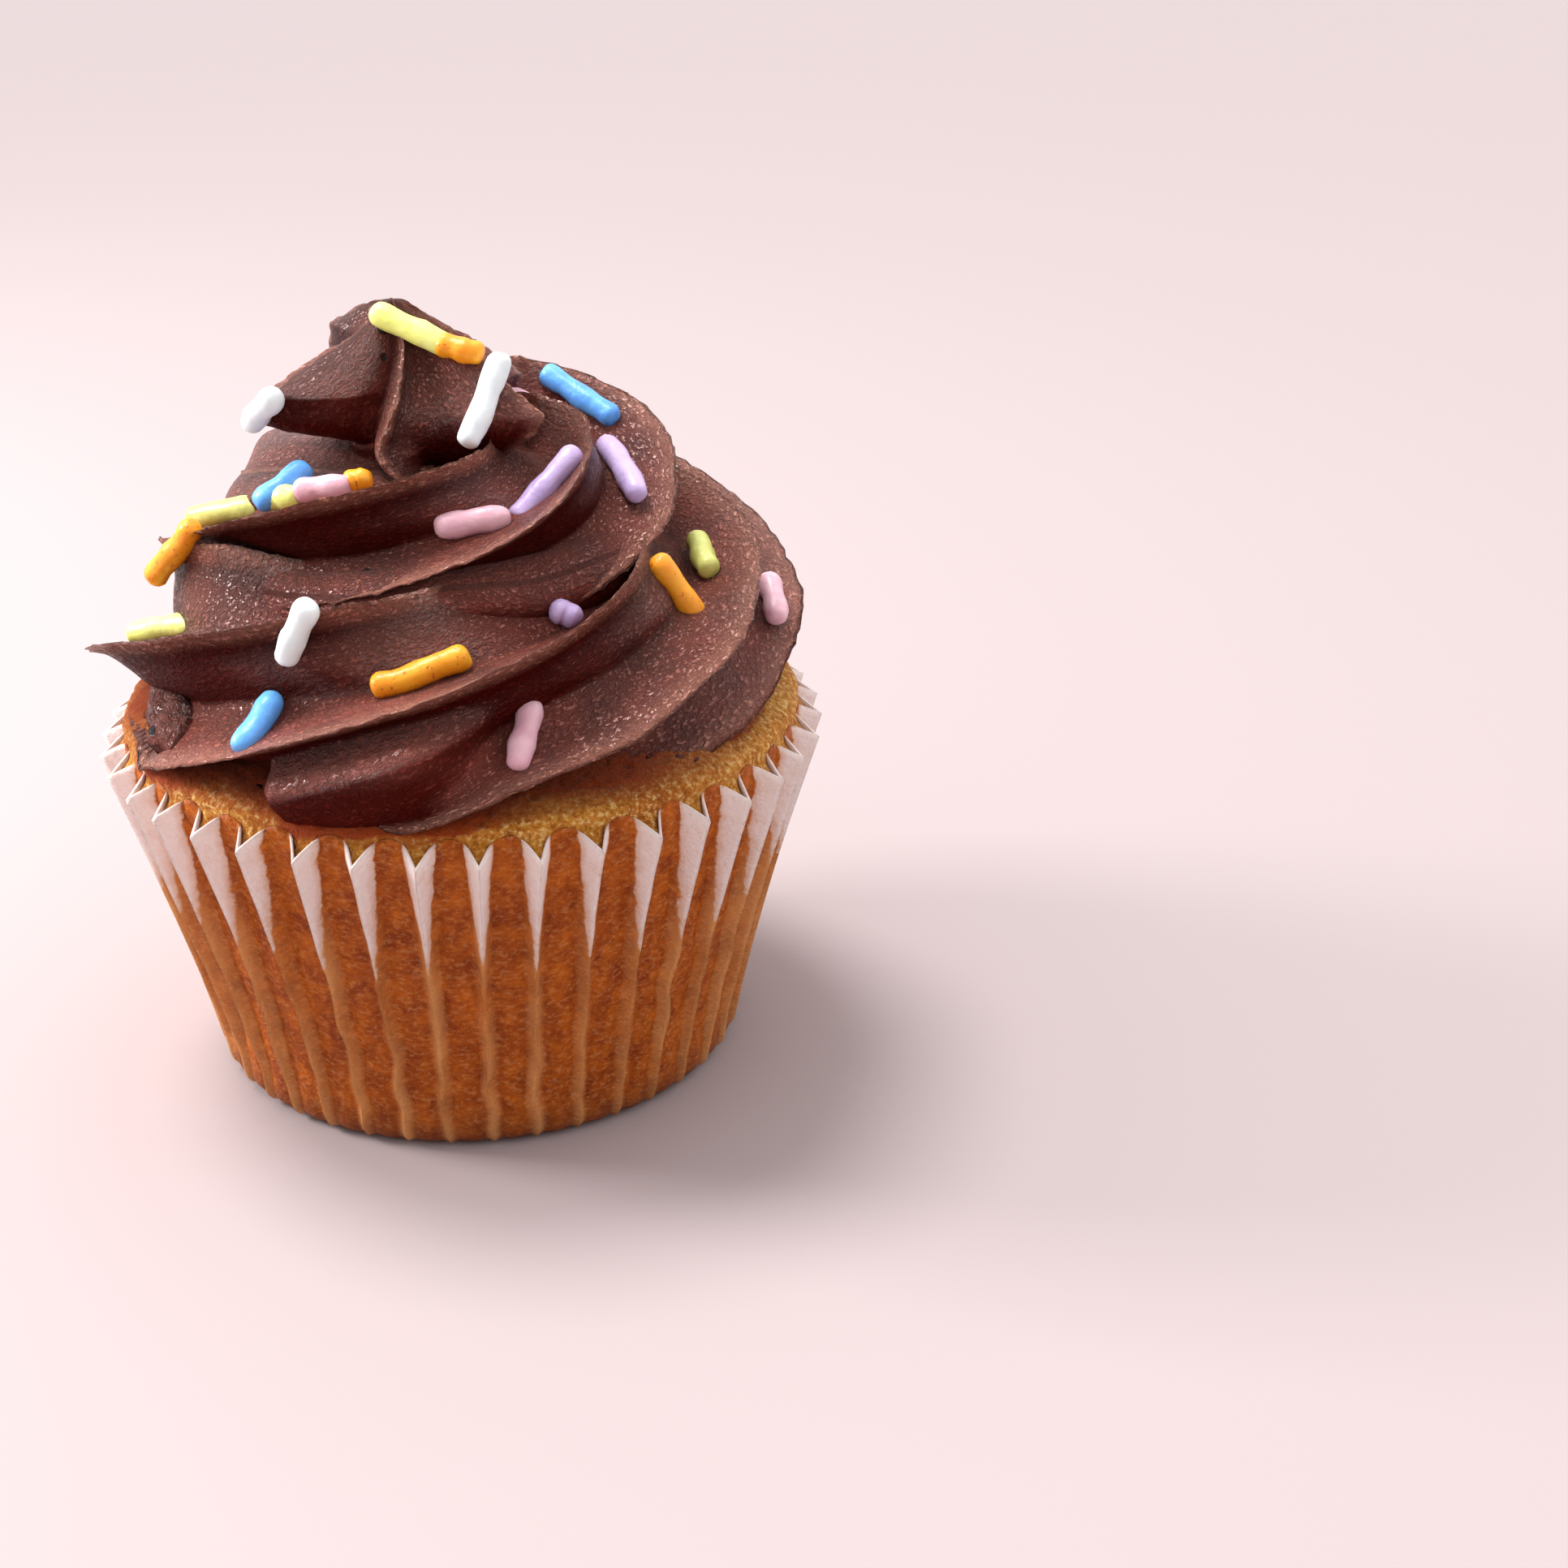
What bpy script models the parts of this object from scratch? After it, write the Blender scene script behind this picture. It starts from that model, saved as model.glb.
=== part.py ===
"""One chocolate cupcake in its pleated paper case.

Three solids, in metres, +Z up, standing on the flat base of the case with
the origin in the middle of that base:

    paper_case  a thin pleated cup with a flat floor
    cake        the sponge, moulded by the pleats, with a low domed top
    icing       a piped star-tip swirl with its sugar sprinkles fused on

The swirl is one rope of icing, swept along a rising and shrinking coil. The
star tip doesn't turn while it pipes, so each fin of the rope keeps its own
bearing and runs diagonally over the coil, and the fins meet at the peak.
"""
import math
import random

import bmesh
import bpy
import numpy as np
from mathutils import Vector
from mathutils.bvhtree import BVHTree

MM = 0.001

# Paper case
BASE_RADIUS = 25.0 * MM
RIM_FOLD_RADIUS = 33.5 * MM
RIM_FOLD_HEIGHT = 31.9 * MM
RIM_PANEL_HEIGHT = 33.6 * MM
PLEATS = 36
RIM_PLEAT_DEPTH = 2.4 * MM
BASE_PLEAT_DEPTH = 0.4 * MM
RIM_FOLD_SPREAD = 0.27
LOW_FOLD_SPREAD = 0.12
BASE_CORNER = 1.6 * MM
CASE_FLOOR = 0.4 * MM
CASE_WALL = 0.6 * MM

# Cake: radius and height (mm) of its top, from the lip inwards
CAKE_CLEARANCE = 0.4 * MM
CAKE_FLOOR_GAP = 0.35 * MM
CAKE_TOP = (
    (31.2, 34.2),
    (30.3, 35.0),
    (28.5, 35.8),
    (25.0, 36.7),
    (20.0, 37.5),
    (12.0, 38.2),
    (5.0, 38.45),
)
CAKE_TOP_HEIGHT = 38.5 * MM
CAKE_COLUMNS = 60

# Icing swirl
FINS = 6
FIN_BEARING = math.radians(-158.5)
VALLEY_RATIO = 0.54
PEAK_VALLEY_RATIO = 0.46
ROPE_SQUASH = 0.80
SWIRL_LEAN = (-2.0 * MM, 5.0 * MM)
LEAN_FROM = 40.0 * MM
LEAN_OVER = 30.0 * MM
RINGS_PER_TURN = 90
POINTS_PER_FIN = 12
ICING_GAP = 0.45 * MM
VOXEL = 0.5 * MM
SWIRL_TRIANGLES = 6700

# One row for each station of the rope: turns piped, distance of the rope
# from the swirl's axis, its height, its radius (mm), and how far its fins
# are dragged round (degrees).
STATIONS = (
    (-0.30, 17.2, 38.8, 12.8, -20.0),
    (-0.24, 18.0, 39.2, 14.8, -19.0),
    (-0.10, 19.6, 40.5, 13.4, -18.0),
    (0.10, 20.1, 42.0, 12.3, -14.5),
    (0.35, 18.3, 44.9, 10.9, -9.0),
    (0.60, 15.2, 48.3, 10.2, -3.5),
    (0.85, 12.5, 51.6, 10.3, 2.5),
    (1.10, 11.2, 51.7, 10.8, 11.0),
    (1.35, 9.7, 53.2, 11.3, 18.0),
    (1.60, 7.6, 54.6, 10.4, 24.0),
    (1.80, 4.2, 56.0, 7.2, 28.0),
)

# How far each fin stands out along the coil
FIN_SIZES = (1.02, 1.0, 1.03, 1.08, 0.98, 1.03)

# Peak: the last of the rope, pulled straight up. For each fin its bearing
# at the foot and at the tip (degrees), how far it reaches (mm) and the
# height at which it reaches furthest (mm).
PEAK_AXIS = (-4.3 * MM, -0.5 * MM)
PEAK_HEIGHT = 71.0 * MM
PEAK_FINS = (
    (-160.0, -150.0, 12.8, 62.0),
    (-114.0, -70.0, 10.2, 58.5),
    (-33.0, -22.0, 14.4, 61.6),
    (30.0, 42.0, 10.5, 63.0),
    (92.0, 100.0, 10.5, 62.0),
    (152.0, 146.0, 10.8, 63.8),
)

# Viewpoint from which the sprinkles' places are read
EYE = Vector((29.7 * MM, -196.3 * MM, 114.8 * MM))
LOOK_DOWN = math.radians(24.66)
ROLL = math.radians(0.2)
PICTURE_CENTRE = 966.0
FOCAL_PIXELS = 2800.0

# Sprinkles: colour, then the two ends as seen from the viewpoint
SPRINKLE_RADIUS = 1.1 * MM
SPRINKLE_SIDES = 6
SUNK = 0.35
SEEN_SPRINKLES = (
    ("lemon", (464, 380), (557, 426)),
    ("orange", (548, 428), (590, 440)),
    ("white", (318, 518), (345, 487)),
    ("white", (617, 448), (580, 545)),
    ("blue", (678, 467), (754, 518)),
    ("lilac", (710, 568), (645, 643)),
    ("lilac", (746, 549), (791, 622)),
    ("pink", (546, 658), (620, 646)),
    ("blue", (378, 588), (329, 626)),
    ("lime", (246, 633), (332, 619)),
    ("pink", (376, 611), (429, 606)),
    ("orange", (198, 706), (243, 650)),
    ("lemon", (170, 790), (246, 778)),
    ("white", (380, 744), (355, 804)),
    ("orange", (468, 847), (570, 810)),
    ("blue", (340, 869), (302, 926)),
    ("lilac", (684, 761), (704, 768)),
    ("orange", (804, 697), (869, 785)),
    ("lime", (863, 673), (877, 708)),
    ("pink", (944, 723), (954, 766)),
    ("pink", (656, 877), (640, 944)),
)
LOWERING_STEPS = 12
UNSEEN_SPRINKLES = 14
SEED = 11

COLOURS = {
    "paper_case": (0.60, 0.36, 0.22, 1.0),
    "cake": (0.52, 0.24, 0.06, 1.0),
    "icing": (0.070, 0.026, 0.019, 1.0),
}
ROUGHNESS = {"paper_case": 0.7, "cake": 0.9, "icing": 0.45}


def clear_scene():
    for item in list(bpy.data.objects):
        bpy.data.objects.remove(item, do_unlink=True)


def smooth_step(value, low, high):
    part = min(max((value - low) / (high - low), 0.0), 1.0)
    return part * part * (3.0 - 2.0 * part)


def through_stations(turns, column):
    """A smooth curve through one column of the stations."""
    xs = np.array([row[0] for row in STATIONS])
    ys = np.array([row[column] for row in STATIONS])
    slopes = np.gradient(ys, xs)
    turns = np.clip(turns, xs[0], xs[-1])
    low = np.clip(np.searchsorted(xs, turns, side="right") - 1, 0, len(xs) - 2)
    step = xs[low + 1] - xs[low]
    part = (turns - xs[low]) / step
    rest = 1.0 - part
    return (
        ys[low] * (1.0 + 2.0 * part) * rest * rest
        + slopes[low] * step * part * rest * rest
        + ys[low + 1] * part * part * (3.0 - 2.0 * part)
        + slopes[low + 1] * step * part * part * (part - 1.0)
    )


def rope_centre(turns):
    """Middle of the rope after so many turns, in metres."""
    bearing = -math.pi / 2.0 + 2.0 * math.pi * turns
    reach = through_stations(turns, 1) * MM
    height = through_stations(turns, 2) * MM
    lean = (height - LEAN_FROM) / LEAN_OVER
    x = reach * np.cos(bearing) + SWIRL_LEAN[0] * lean
    y = reach * np.sin(bearing) + SWIRL_LEAN[1] * lean
    return np.stack([x, y, height], axis=-1)


def star_radius(part, valley=VALLEY_RATIO):
    """Radius of the star at so many fins round, 1 at a crest."""
    half = math.pi / FINS
    off = np.abs((part + 0.5) % 1.0 - 0.5) * 2.0 * half
    off = np.sqrt(off * off + (0.06 * half) ** 2)
    to_valley = np.sqrt((half - np.minimum(off, half)) ** 2 + (0.10 * half) ** 2)
    off = np.clip(half - to_valley, 0.0, half)
    return valley * math.sin(half) / (np.sin(off) + valley * np.sin(half - off))


def fin_size(part):
    """How far the skin stands out between one fin and the next."""
    sizes = np.array(FIN_SIZES)
    low = np.floor(part).astype(int)
    blend = part - low
    blend = blend * blend * (3.0 - 2.0 * blend)
    return sizes[low % FINS] * (1.0 - blend) + sizes[(low + 1) % FINS] * blend


def rope_surface(turns, part):
    """Points of the rope's skin: turns along it, part counts fins round it."""
    centre = rope_centre(turns)
    ahead = rope_centre(turns + 0.004) - rope_centre(turns - 0.004)
    ahead /= np.linalg.norm(ahead, axis=-1)[..., None]
    width = np.maximum(through_stations(turns, 3), 0.3) * MM
    drag = np.radians(through_stations(turns, 4))
    bearing = FIN_BEARING + part * 2.0 * math.pi / FINS + drag
    flat = np.stack([np.cos(bearing), np.sin(bearing), 0.0 * bearing], axis=-1)
    up = np.broadcast_to(np.array([0.0, 0.0, 1.0]), ahead.shape)
    rise = ahead[..., 2]
    axis = np.cross(up, ahead)
    turned = (
        flat * rise[..., None]
        + np.cross(axis, flat)
        + axis * ((axis * flat).sum(-1) / (1.0 + rise + 1e-9))[..., None]
    )
    across = up - ahead * rise[..., None]
    size = np.linalg.norm(across, axis=-1)
    across = across / (size[..., None] + 1e-9)
    squash = 1.0 - (1.0 - ROPE_SQUASH) * size * size
    turned = turned + across * ((turned * across).sum(-1) * (squash - 1.0))[..., None]
    return centre + (width * star_radius(part) * fin_size(part))[..., None] * turned


def closed_tube(rings):
    """Vertices and faces of a closed tube from a grid of ring points."""
    count, around = rings.shape[0], rings.shape[1]
    verts = [tuple(point) for ring in rings for point in ring]
    faces = []
    for i in range(count - 1):
        for j in range(around):
            k = (j + 1) % around
            a = i * around
            b = a + around
            faces.append((a + j, b + j, b + k, a + k))
    start = len(verts)
    verts.append(tuple(rings[0].mean(axis=0)))
    verts.append(tuple(rings[-1].mean(axis=0)))
    last = (count - 1) * around
    for j in range(around):
        k = (j + 1) % around
        faces.append((start, j, k))
        faces.append((start + 1, last + k, last + j))
    return verts, faces


def mesh_object(name, verts, faces):
    mesh = bpy.data.meshes.new(name)
    mesh.from_pydata([tuple(v) for v in verts], [], faces)
    mesh.update()
    item = bpy.data.objects.new(name, mesh)
    bpy.context.scene.collection.objects.link(item)
    outward(item)
    return item


def outward(item):
    work = bmesh.new()
    work.from_mesh(item.data)
    bmesh.ops.recalc_face_normals(work, faces=work.faces)
    work.to_mesh(item.data)
    work.free()


def paint(item, name):
    material = bpy.data.materials.new(name)
    material.use_nodes = True
    shader = material.node_tree.nodes["Principled BSDF"]
    shader.inputs["Base Color"].default_value = COLOURS[name]
    shader.inputs["Roughness"].default_value = ROUGHNESS[name]
    shader.inputs["Metallic"].default_value = 0.0
    item.data.materials.clear()
    item.data.materials.append(material)


def apply_modifiers(item):
    graph = bpy.context.evaluated_depsgraph_get()
    mesh = bpy.data.meshes.new_from_object(item.evaluated_get(graph))
    item.modifiers.clear()
    item.data = mesh


def case_radius(height):
    """Radius of the case's outer folds at a height, without the base corner."""
    part = height / RIM_FOLD_HEIGHT
    straight = BASE_RADIUS + (RIM_FOLD_RADIUS - BASE_RADIUS) * part
    return straight - 0.5 * MM * math.sin(math.pi * min(part, 1.0))


def pleat_depth(height):
    """How far the flat panels lie behind the outer folds at a height."""
    part = height / RIM_FOLD_HEIGHT
    low = 0.7 * MM * smooth_step(part, 0.0, 0.35)
    high = (RIM_PLEAT_DEPTH - BASE_PLEAT_DEPTH - 0.7 * MM) * smooth_step(part, 0.45, 1.0)
    return BASE_PLEAT_DEPTH + low + high


def fold_spread(height):
    """Half the width of a fold at its root, as a part of the pleats' pitch."""
    opened = smooth_step(height / RIM_FOLD_HEIGHT, 0.35, 1.0)
    return LOW_FOLD_SPREAD + (RIM_FOLD_SPREAD - LOW_FOLD_SPREAD) * opened


def panel_radius(height):
    return case_radius(height) - pleat_depth(height)


def corner_inset(height):
    """Inset of the rounded corner where the wall meets the base."""
    if height >= BASE_CORNER:
        return 0.0
    drop = BASE_CORNER - height
    return BASE_CORNER - math.sqrt(max(BASE_CORNER ** 2 - drop ** 2, 0.0))


def pleated_ring(height, inward, rim=False):
    """Ring of fold points: for each pleat its outer fold, then its panel's edges."""
    ring = []
    radius = case_radius(height) - inward - corner_inset(height)
    for i in range(PLEATS):
        middle = 2.0 * math.pi * (i + 0.5) / PLEATS
        spread = fold_spread(height) * 2.0 * math.pi / PLEATS
        for offset, depth in ((-spread, pleat_depth(height)), (0.0, 0.0), (spread, pleat_depth(height))):
            reach = radius - depth
            z = RIM_PANEL_HEIGHT if rim and depth > 0.0 else height
            bearing = middle + offset
            ring.append((reach * math.cos(bearing), reach * math.sin(bearing), z))
    return ring


def stacked_rings(rings, bottom, top):
    """Closed skin through rings of equal count, ended by two middle points."""
    around = len(rings[0])
    verts = [point for ring in rings for point in ring]
    faces = []
    for i in range(len(rings) - 1):
        for j in range(around):
            k = (j + 1) % around
            a = i * around
            b = a + around
            faces.append((a + j, a + k, b + k))
            faces.append((a + j, b + k, b + j))
    first = len(verts)
    verts.append(bottom)
    verts.append(top)
    last = (len(rings) - 1) * around
    for j in range(around):
        k = (j + 1) % around
        faces.append((first, k, j))
        faces.append((first + 1, last + j, last + k))
    return verts, faces


def build_paper_case():
    heights = [0.0, 0.5 * MM, BASE_CORNER, 6.0 * MM, 12.0 * MM, 18.0 * MM, 25.0 * MM]
    outer = [pleated_ring(z, 0.0) for z in heights]
    outer.append(pleated_ring(RIM_FOLD_HEIGHT, 0.0, rim=True))
    inner = [pleated_ring(RIM_FOLD_HEIGHT, CASE_WALL, rim=True)]
    inner += [pleated_ring(z, CASE_WALL) for z in reversed(heights[3:])]
    inner.append(pleated_ring(BASE_CORNER, CASE_WALL + 0.15 * MM))
    inner.append(pleated_ring(CASE_FLOOR, CASE_WALL + 0.6 * MM))
    verts, faces = stacked_rings(outer + inner, (0.0, 0.0, 0.0), (0.0, 0.0, CASE_FLOOR))
    case = mesh_object("paper_case", verts, faces)
    paint(case, "paper_case")
    return case


def cake_top(radius):
    """Height of the cake's domed top at a distance from its middle."""
    reach = [0.0] + [row[0] * MM for row in reversed(CAKE_TOP)]
    rise = [CAKE_TOP_HEIGHT] + [row[1] * MM for row in reversed(CAKE_TOP)]
    return float(np.interp(radius, reach, rise))


def round_ring(radius, height):
    ring = []
    for i in range(CAKE_COLUMNS):
        bearing = 2.0 * math.pi * i / CAKE_COLUMNS
        ring.append((radius * math.cos(bearing), radius * math.sin(bearing), height))
    return ring


def build_cake():
    foot = CASE_FLOOR + CAKE_FLOOR_GAP
    clear = CASE_WALL + CAKE_CLEARANCE
    rings = [round_ring(panel_radius(0.0) - clear - 2.2 * MM, foot)]
    rings.append(round_ring(panel_radius(BASE_CORNER) - clear - 0.5 * MM, 2.6 * MM))
    for height in (8.0, 16.0, 25.0):
        rings.append(round_ring(panel_radius(height * MM) - clear, height * MM))
    rings.append(round_ring(panel_radius(RIM_FOLD_HEIGHT) - clear, RIM_FOLD_HEIGHT))
    rings.append(round_ring(panel_radius(RIM_FOLD_HEIGHT) - clear, RIM_PANEL_HEIGHT))
    for radius, height in CAKE_TOP:
        rings.append(round_ring(radius * MM, height * MM))
    verts, faces = stacked_rings(rings, (0.0, 0.0, foot), (0.0, 0.0, CAKE_TOP_HEIGHT))
    cake = mesh_object("cake", verts, faces)
    paint(cake, "cake")
    return cake


def peak_reach(fin, height):
    """How far one fin of the peak reaches at a height, in metres."""
    _, _, reach, low = PEAK_FINS[fin]
    low *= MM
    if height >= low:
        part = (PEAK_HEIGHT - height) / (PEAK_HEIGHT - low)
        return reach * MM * (0.06 + 0.94 * max(part, 0.0) ** 0.95)
    under = min((low - height) / (7.0 * MM), 1.0)
    return reach * MM * (1.0 - 0.75 * under ** 2)


def build_peak_rings():
    """Level rings of the pulled-up end, from its foot to its tip."""
    rings = []
    for step in range(70):
        height = 53.0 * MM + (PEAK_HEIGHT - 53.0 * MM) * step / 69.0
        rise = smooth_step(height, 57.0 * MM, PEAK_HEIGHT)
        crests = [peak_reach(fin, height) for fin in range(FINS)]
        bearings = []
        for fin in range(FINS):
            foot, tip = PEAK_FINS[fin][0], PEAK_FINS[fin][1]
            bearings.append(foot + (tip - foot) * rise)
        ring = []
        for fin in range(FINS):
            following = (fin + 1) % FINS
            width = (bearings[following] - bearings[fin]) % 360.0
            for j in range(POINTS_PER_FIN):
                part = j / POINTS_PER_FIN
                bearing = math.radians(bearings[fin] + width * part)
                blend = part * part * (3.0 - 2.0 * part)
                size = crests[fin] * (1.0 - blend) + crests[following] * blend
                reach = size * float(star_radius(np.array(part), PEAK_VALLEY_RATIO))
                ring.append([
                    PEAK_AXIS[0] + reach * math.cos(bearing),
                    PEAK_AXIS[1] + reach * math.sin(bearing),
                    height,
                ])
        rings.append(ring)
    return np.array(rings)


def lift_off_cake(points):
    """Raise points that would sink into the cake to just above its top."""
    for point in points:
        floor = cake_top(math.hypot(point[0], point[1])) + ICING_GAP
        if point[2] < floor:
            point[2] = floor
    return points


def build_swirl():
    """The piped rope with the mound it is wound on, as one closed skin."""
    first, last = STATIONS[0][0], STATIONS[-1][0]
    count = int((last - first) * RINGS_PER_TURN)
    around = FINS * POINTS_PER_FIN
    turns = np.linspace(first, last, count)[:, None] * np.ones(around)
    parts = np.ones(count)[:, None] * np.arange(around) / POINTS_PER_FIN
    rings = rope_surface(turns, parts)
    rings = lift_off_cake(rings.reshape(-1, 3)).reshape(rings.shape)
    verts, faces = closed_tube(rings)
    profile = ((20.0, 36.6), (20.0, 44.0), (14.0, 51.0), (7.0, 56.0), (1.0, 60.0))
    mound = []
    for radius, height in profile:
        ring = []
        for i in range(48):
            bearing = 2.0 * math.pi * i / 48
            lean = (height * MM - LEAN_FROM) / LEAN_OVER
            x = radius * MM * math.cos(bearing) + SWIRL_LEAN[0] * lean
            y = radius * MM * math.sin(bearing) + SWIRL_LEAN[1] * lean
            ring.append([x, y, height * MM])
        mound.append(lift_off_cake(ring))
    more_verts, more_faces = closed_tube(np.array(mound))
    offset = len(verts)
    verts += more_verts
    faces += [tuple(i + offset for i in face) for face in more_faces]
    more_verts, more_faces = closed_tube(build_peak_rings())
    offset = len(verts)
    verts += more_verts
    faces += [tuple(i + offset for i in face) for face in more_faces]
    swirl = mesh_object("icing", verts, faces)
    skin = swirl.modifiers.new("one_skin", "REMESH")
    skin.mode = "VOXEL"
    skin.voxel_size = VOXEL
    relax = swirl.modifiers.new("relax", "SMOOTH")
    relax.factor = 0.5
    relax.iterations = 3
    apply_modifiers(swirl)
    fewer = swirl.modifiers.new("fewer", "DECIMATE")
    fewer.ratio = SWIRL_TRIANGLES / (2.0 * len(swirl.data.polygons))
    fewer.use_collapse_triangulate = True
    apply_modifiers(swirl)
    for vert in swirl.data.vertices:
        floor = cake_top(math.hypot(vert.co.x, vert.co.y)) + ICING_GAP
        vert.co.z = max(vert.co.z, floor)
    return swirl


def sight_line(pixel):
    """Direction from the viewpoint through a picture point."""
    ahead = Vector((0.0, math.cos(LOOK_DOWN), -math.sin(LOOK_DOWN)))
    level = Vector((1.0, 0.0, 0.0))
    upright = level.cross(ahead)
    right = level * math.cos(ROLL) + upright * math.sin(ROLL)
    up = upright * math.cos(ROLL) - level * math.sin(ROLL)
    x = (pixel[0] - PICTURE_CENTRE) / FOCAL_PIXELS
    y = (PICTURE_CENTRE - pixel[1]) / FOCAL_PIXELS
    return (ahead + right * x + up * y).normalized()


def sprinkle_mesh(name, middle, along, length):
    """A short rod with pointed ends, few sided."""
    along = along.normalized()
    side = along.orthogonal().normalized()
    other = along.cross(side)
    verts = []
    for place in (-0.5 * length + 0.5 * SPRINKLE_RADIUS, 0.5 * length - 0.5 * SPRINKLE_RADIUS):
        for i in range(SPRINKLE_SIDES):
            turn = 2.0 * math.pi * i / SPRINKLE_SIDES
            offset = side * math.cos(turn) + other * math.sin(turn)
            verts.append(middle + along * place + offset * SPRINKLE_RADIUS)
    verts.append(middle - along * 0.5 * length)
    verts.append(middle + along * 0.5 * length)
    n = SPRINKLE_SIDES
    faces = []
    for i in range(n):
        k = (i + 1) % n
        faces.append((i, k, n + k))
        faces.append((i, n + k, n + i))
        faces.append((2 * n, k, i))
        faces.append((2 * n + 1, n + i, n + k))
    return mesh_object(name, verts, faces)


def seen_sprinkles(tree):
    """Sprinkles laid on the icing where the viewpoint sees them."""
    placed = []
    for colour, first, second in SEEN_SPRINKLES:
        middle = [(first[0] + second[0]) / 2.0, (first[1] + second[1]) / 2.0]
        hit = None
        for _ in range(LOWERING_STEPS):
            hit, normal, _, _ = tree.ray_cast(EYE, sight_line(middle))
            if hit is not None:
                break
            middle[1] += 4.0
        if hit is None:
            continue
        if normal.dot(sight_line(middle)) > -0.45:
            normal = (normal - sight_line(middle) * 0.6).normalized()
        ends = []
        for pixel in (first, second):
            ray = sight_line(pixel)
            ends.append(EYE + ray * ((hit - EYE).dot(normal) / ray.dot(normal)))
        along = ends[1] - ends[0]
        length = min(along.length + 0.4 * SPRINKLE_RADIUS, 10.0 * MM)
        centre = hit + normal * SPRINKLE_RADIUS * (1.0 - SUNK)
        placed.append((centre, along, length))
    return placed


def unseen_sprinkles(tree):
    """More sprinkles, strewn over the sides that the viewpoint doesn't see."""
    rng = random.Random(SEED)
    placed = []
    tries = 0
    while len(placed) < UNSEEN_SPRINKLES and tries < 400:
        tries += 1
        bearing = math.radians(rng.uniform(20.0, 160.0))
        height = rng.uniform(44.0, 64.0) * MM
        start = Vector((math.cos(bearing), math.sin(bearing), 0.0)) * 0.06
        start.z = height + 0.025
        inward = Vector((-math.cos(bearing), -math.sin(bearing), -0.45)).normalized()
        hit, normal, _, _ = tree.ray_cast(start, inward)
        if hit is None or normal.dot(inward) > -0.6:
            continue
        if tree.ray_cast(EYE, (hit - EYE).normalized())[3] > (hit - EYE).length - 0.002:
            continue
        if any((hit - other[0]).length < 9.0 * MM for other in placed):
            continue
        turn = rng.uniform(0.0, 6.28)
        along = normal.orthogonal().normalized()
        along = along * math.cos(turn) + normal.cross(along) * math.sin(turn)
        centre = hit + normal * SPRINKLE_RADIUS * (1.0 - SUNK)
        placed.append((centre, along, rng.uniform(5.5, 8.5) * MM))
    return placed


def build_icing():
    swirl = build_swirl()
    tree = BVHTree.FromPolygons(
        [v.co.copy() for v in swirl.data.vertices],
        [tuple(p.vertices) for p in swirl.data.polygons],
    )
    toppings = bpy.data.collections.new("sprinkles")
    bpy.context.scene.collection.children.link(toppings)
    for i, (middle, along, length) in enumerate(seen_sprinkles(tree) + unseen_sprinkles(tree)):
        rod = sprinkle_mesh("sprinkle_%d" % i, middle, along, length)
        bpy.context.scene.collection.objects.unlink(rod)
        toppings.objects.link(rod)
    union = swirl.modifiers.new("fuse", "BOOLEAN")
    union.operation = "UNION"
    union.operand_type = "COLLECTION"
    union.collection = toppings
    union.solver = "MANIFOLD"
    apply_modifiers(swirl)
    for rod in list(toppings.objects):
        bpy.data.objects.remove(rod, do_unlink=True)
    bpy.data.collections.remove(toppings)
    keep_largest(swirl)
    paint(swirl, "icing")
    return swirl


def keep_largest(item):
    """Drop loose scraps and sealed hollows, keeping the one large skin."""
    work = bmesh.new()
    work.from_mesh(item.data)
    bmesh.ops.triangulate(work, faces=work.faces)
    left = set(work.faces)
    shells = []
    while left:
        seed = left.pop()
        shell = [seed]
        queue = [seed]
        while queue:
            face = queue.pop()
            for edge in face.edges:
                for other in edge.link_faces:
                    if other in left:
                        left.remove(other)
                        shell.append(other)
                        queue.append(other)
        shells.append(shell)
    shells.sort(key=len)
    for shell in shells[:-1]:
        bmesh.ops.delete(work, geom=shell, context="FACES")
    work.to_mesh(item.data)
    work.free()


def main():
    clear_scene()
    build_paper_case()
    build_cake()
    build_icing()


main()
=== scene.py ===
"""Cupcake in a pleated paper case, with a piped chocolate swirl and sugar sprinkles."""

import logging
import math
import random
from dataclasses import dataclass, field
from enum import Enum

import bmesh
import bpy
import numpy as np
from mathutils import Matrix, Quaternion, Vector, noise
from mathutils.bvhtree import BVHTree


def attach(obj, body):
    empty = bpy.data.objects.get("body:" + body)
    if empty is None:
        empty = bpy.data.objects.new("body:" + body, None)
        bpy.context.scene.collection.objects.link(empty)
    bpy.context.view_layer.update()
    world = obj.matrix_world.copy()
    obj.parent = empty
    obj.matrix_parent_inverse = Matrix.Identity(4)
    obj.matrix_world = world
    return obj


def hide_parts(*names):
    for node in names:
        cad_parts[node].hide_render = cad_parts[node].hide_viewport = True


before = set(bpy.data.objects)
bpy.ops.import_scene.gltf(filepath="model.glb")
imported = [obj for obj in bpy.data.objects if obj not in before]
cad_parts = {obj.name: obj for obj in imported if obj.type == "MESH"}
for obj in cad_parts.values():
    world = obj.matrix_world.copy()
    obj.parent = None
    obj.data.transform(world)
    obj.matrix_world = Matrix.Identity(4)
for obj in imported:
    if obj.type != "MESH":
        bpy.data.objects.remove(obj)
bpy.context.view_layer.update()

MM = 0.001
BODY = "root"

Colour = tuple[float, float, float, float]
Pixel = tuple[float, float]

logging.basicConfig(level=logging.INFO, format="%(message)s")
LOG = logging.getLogger("cupcake")


# Helpers shared by all pieces


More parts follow.
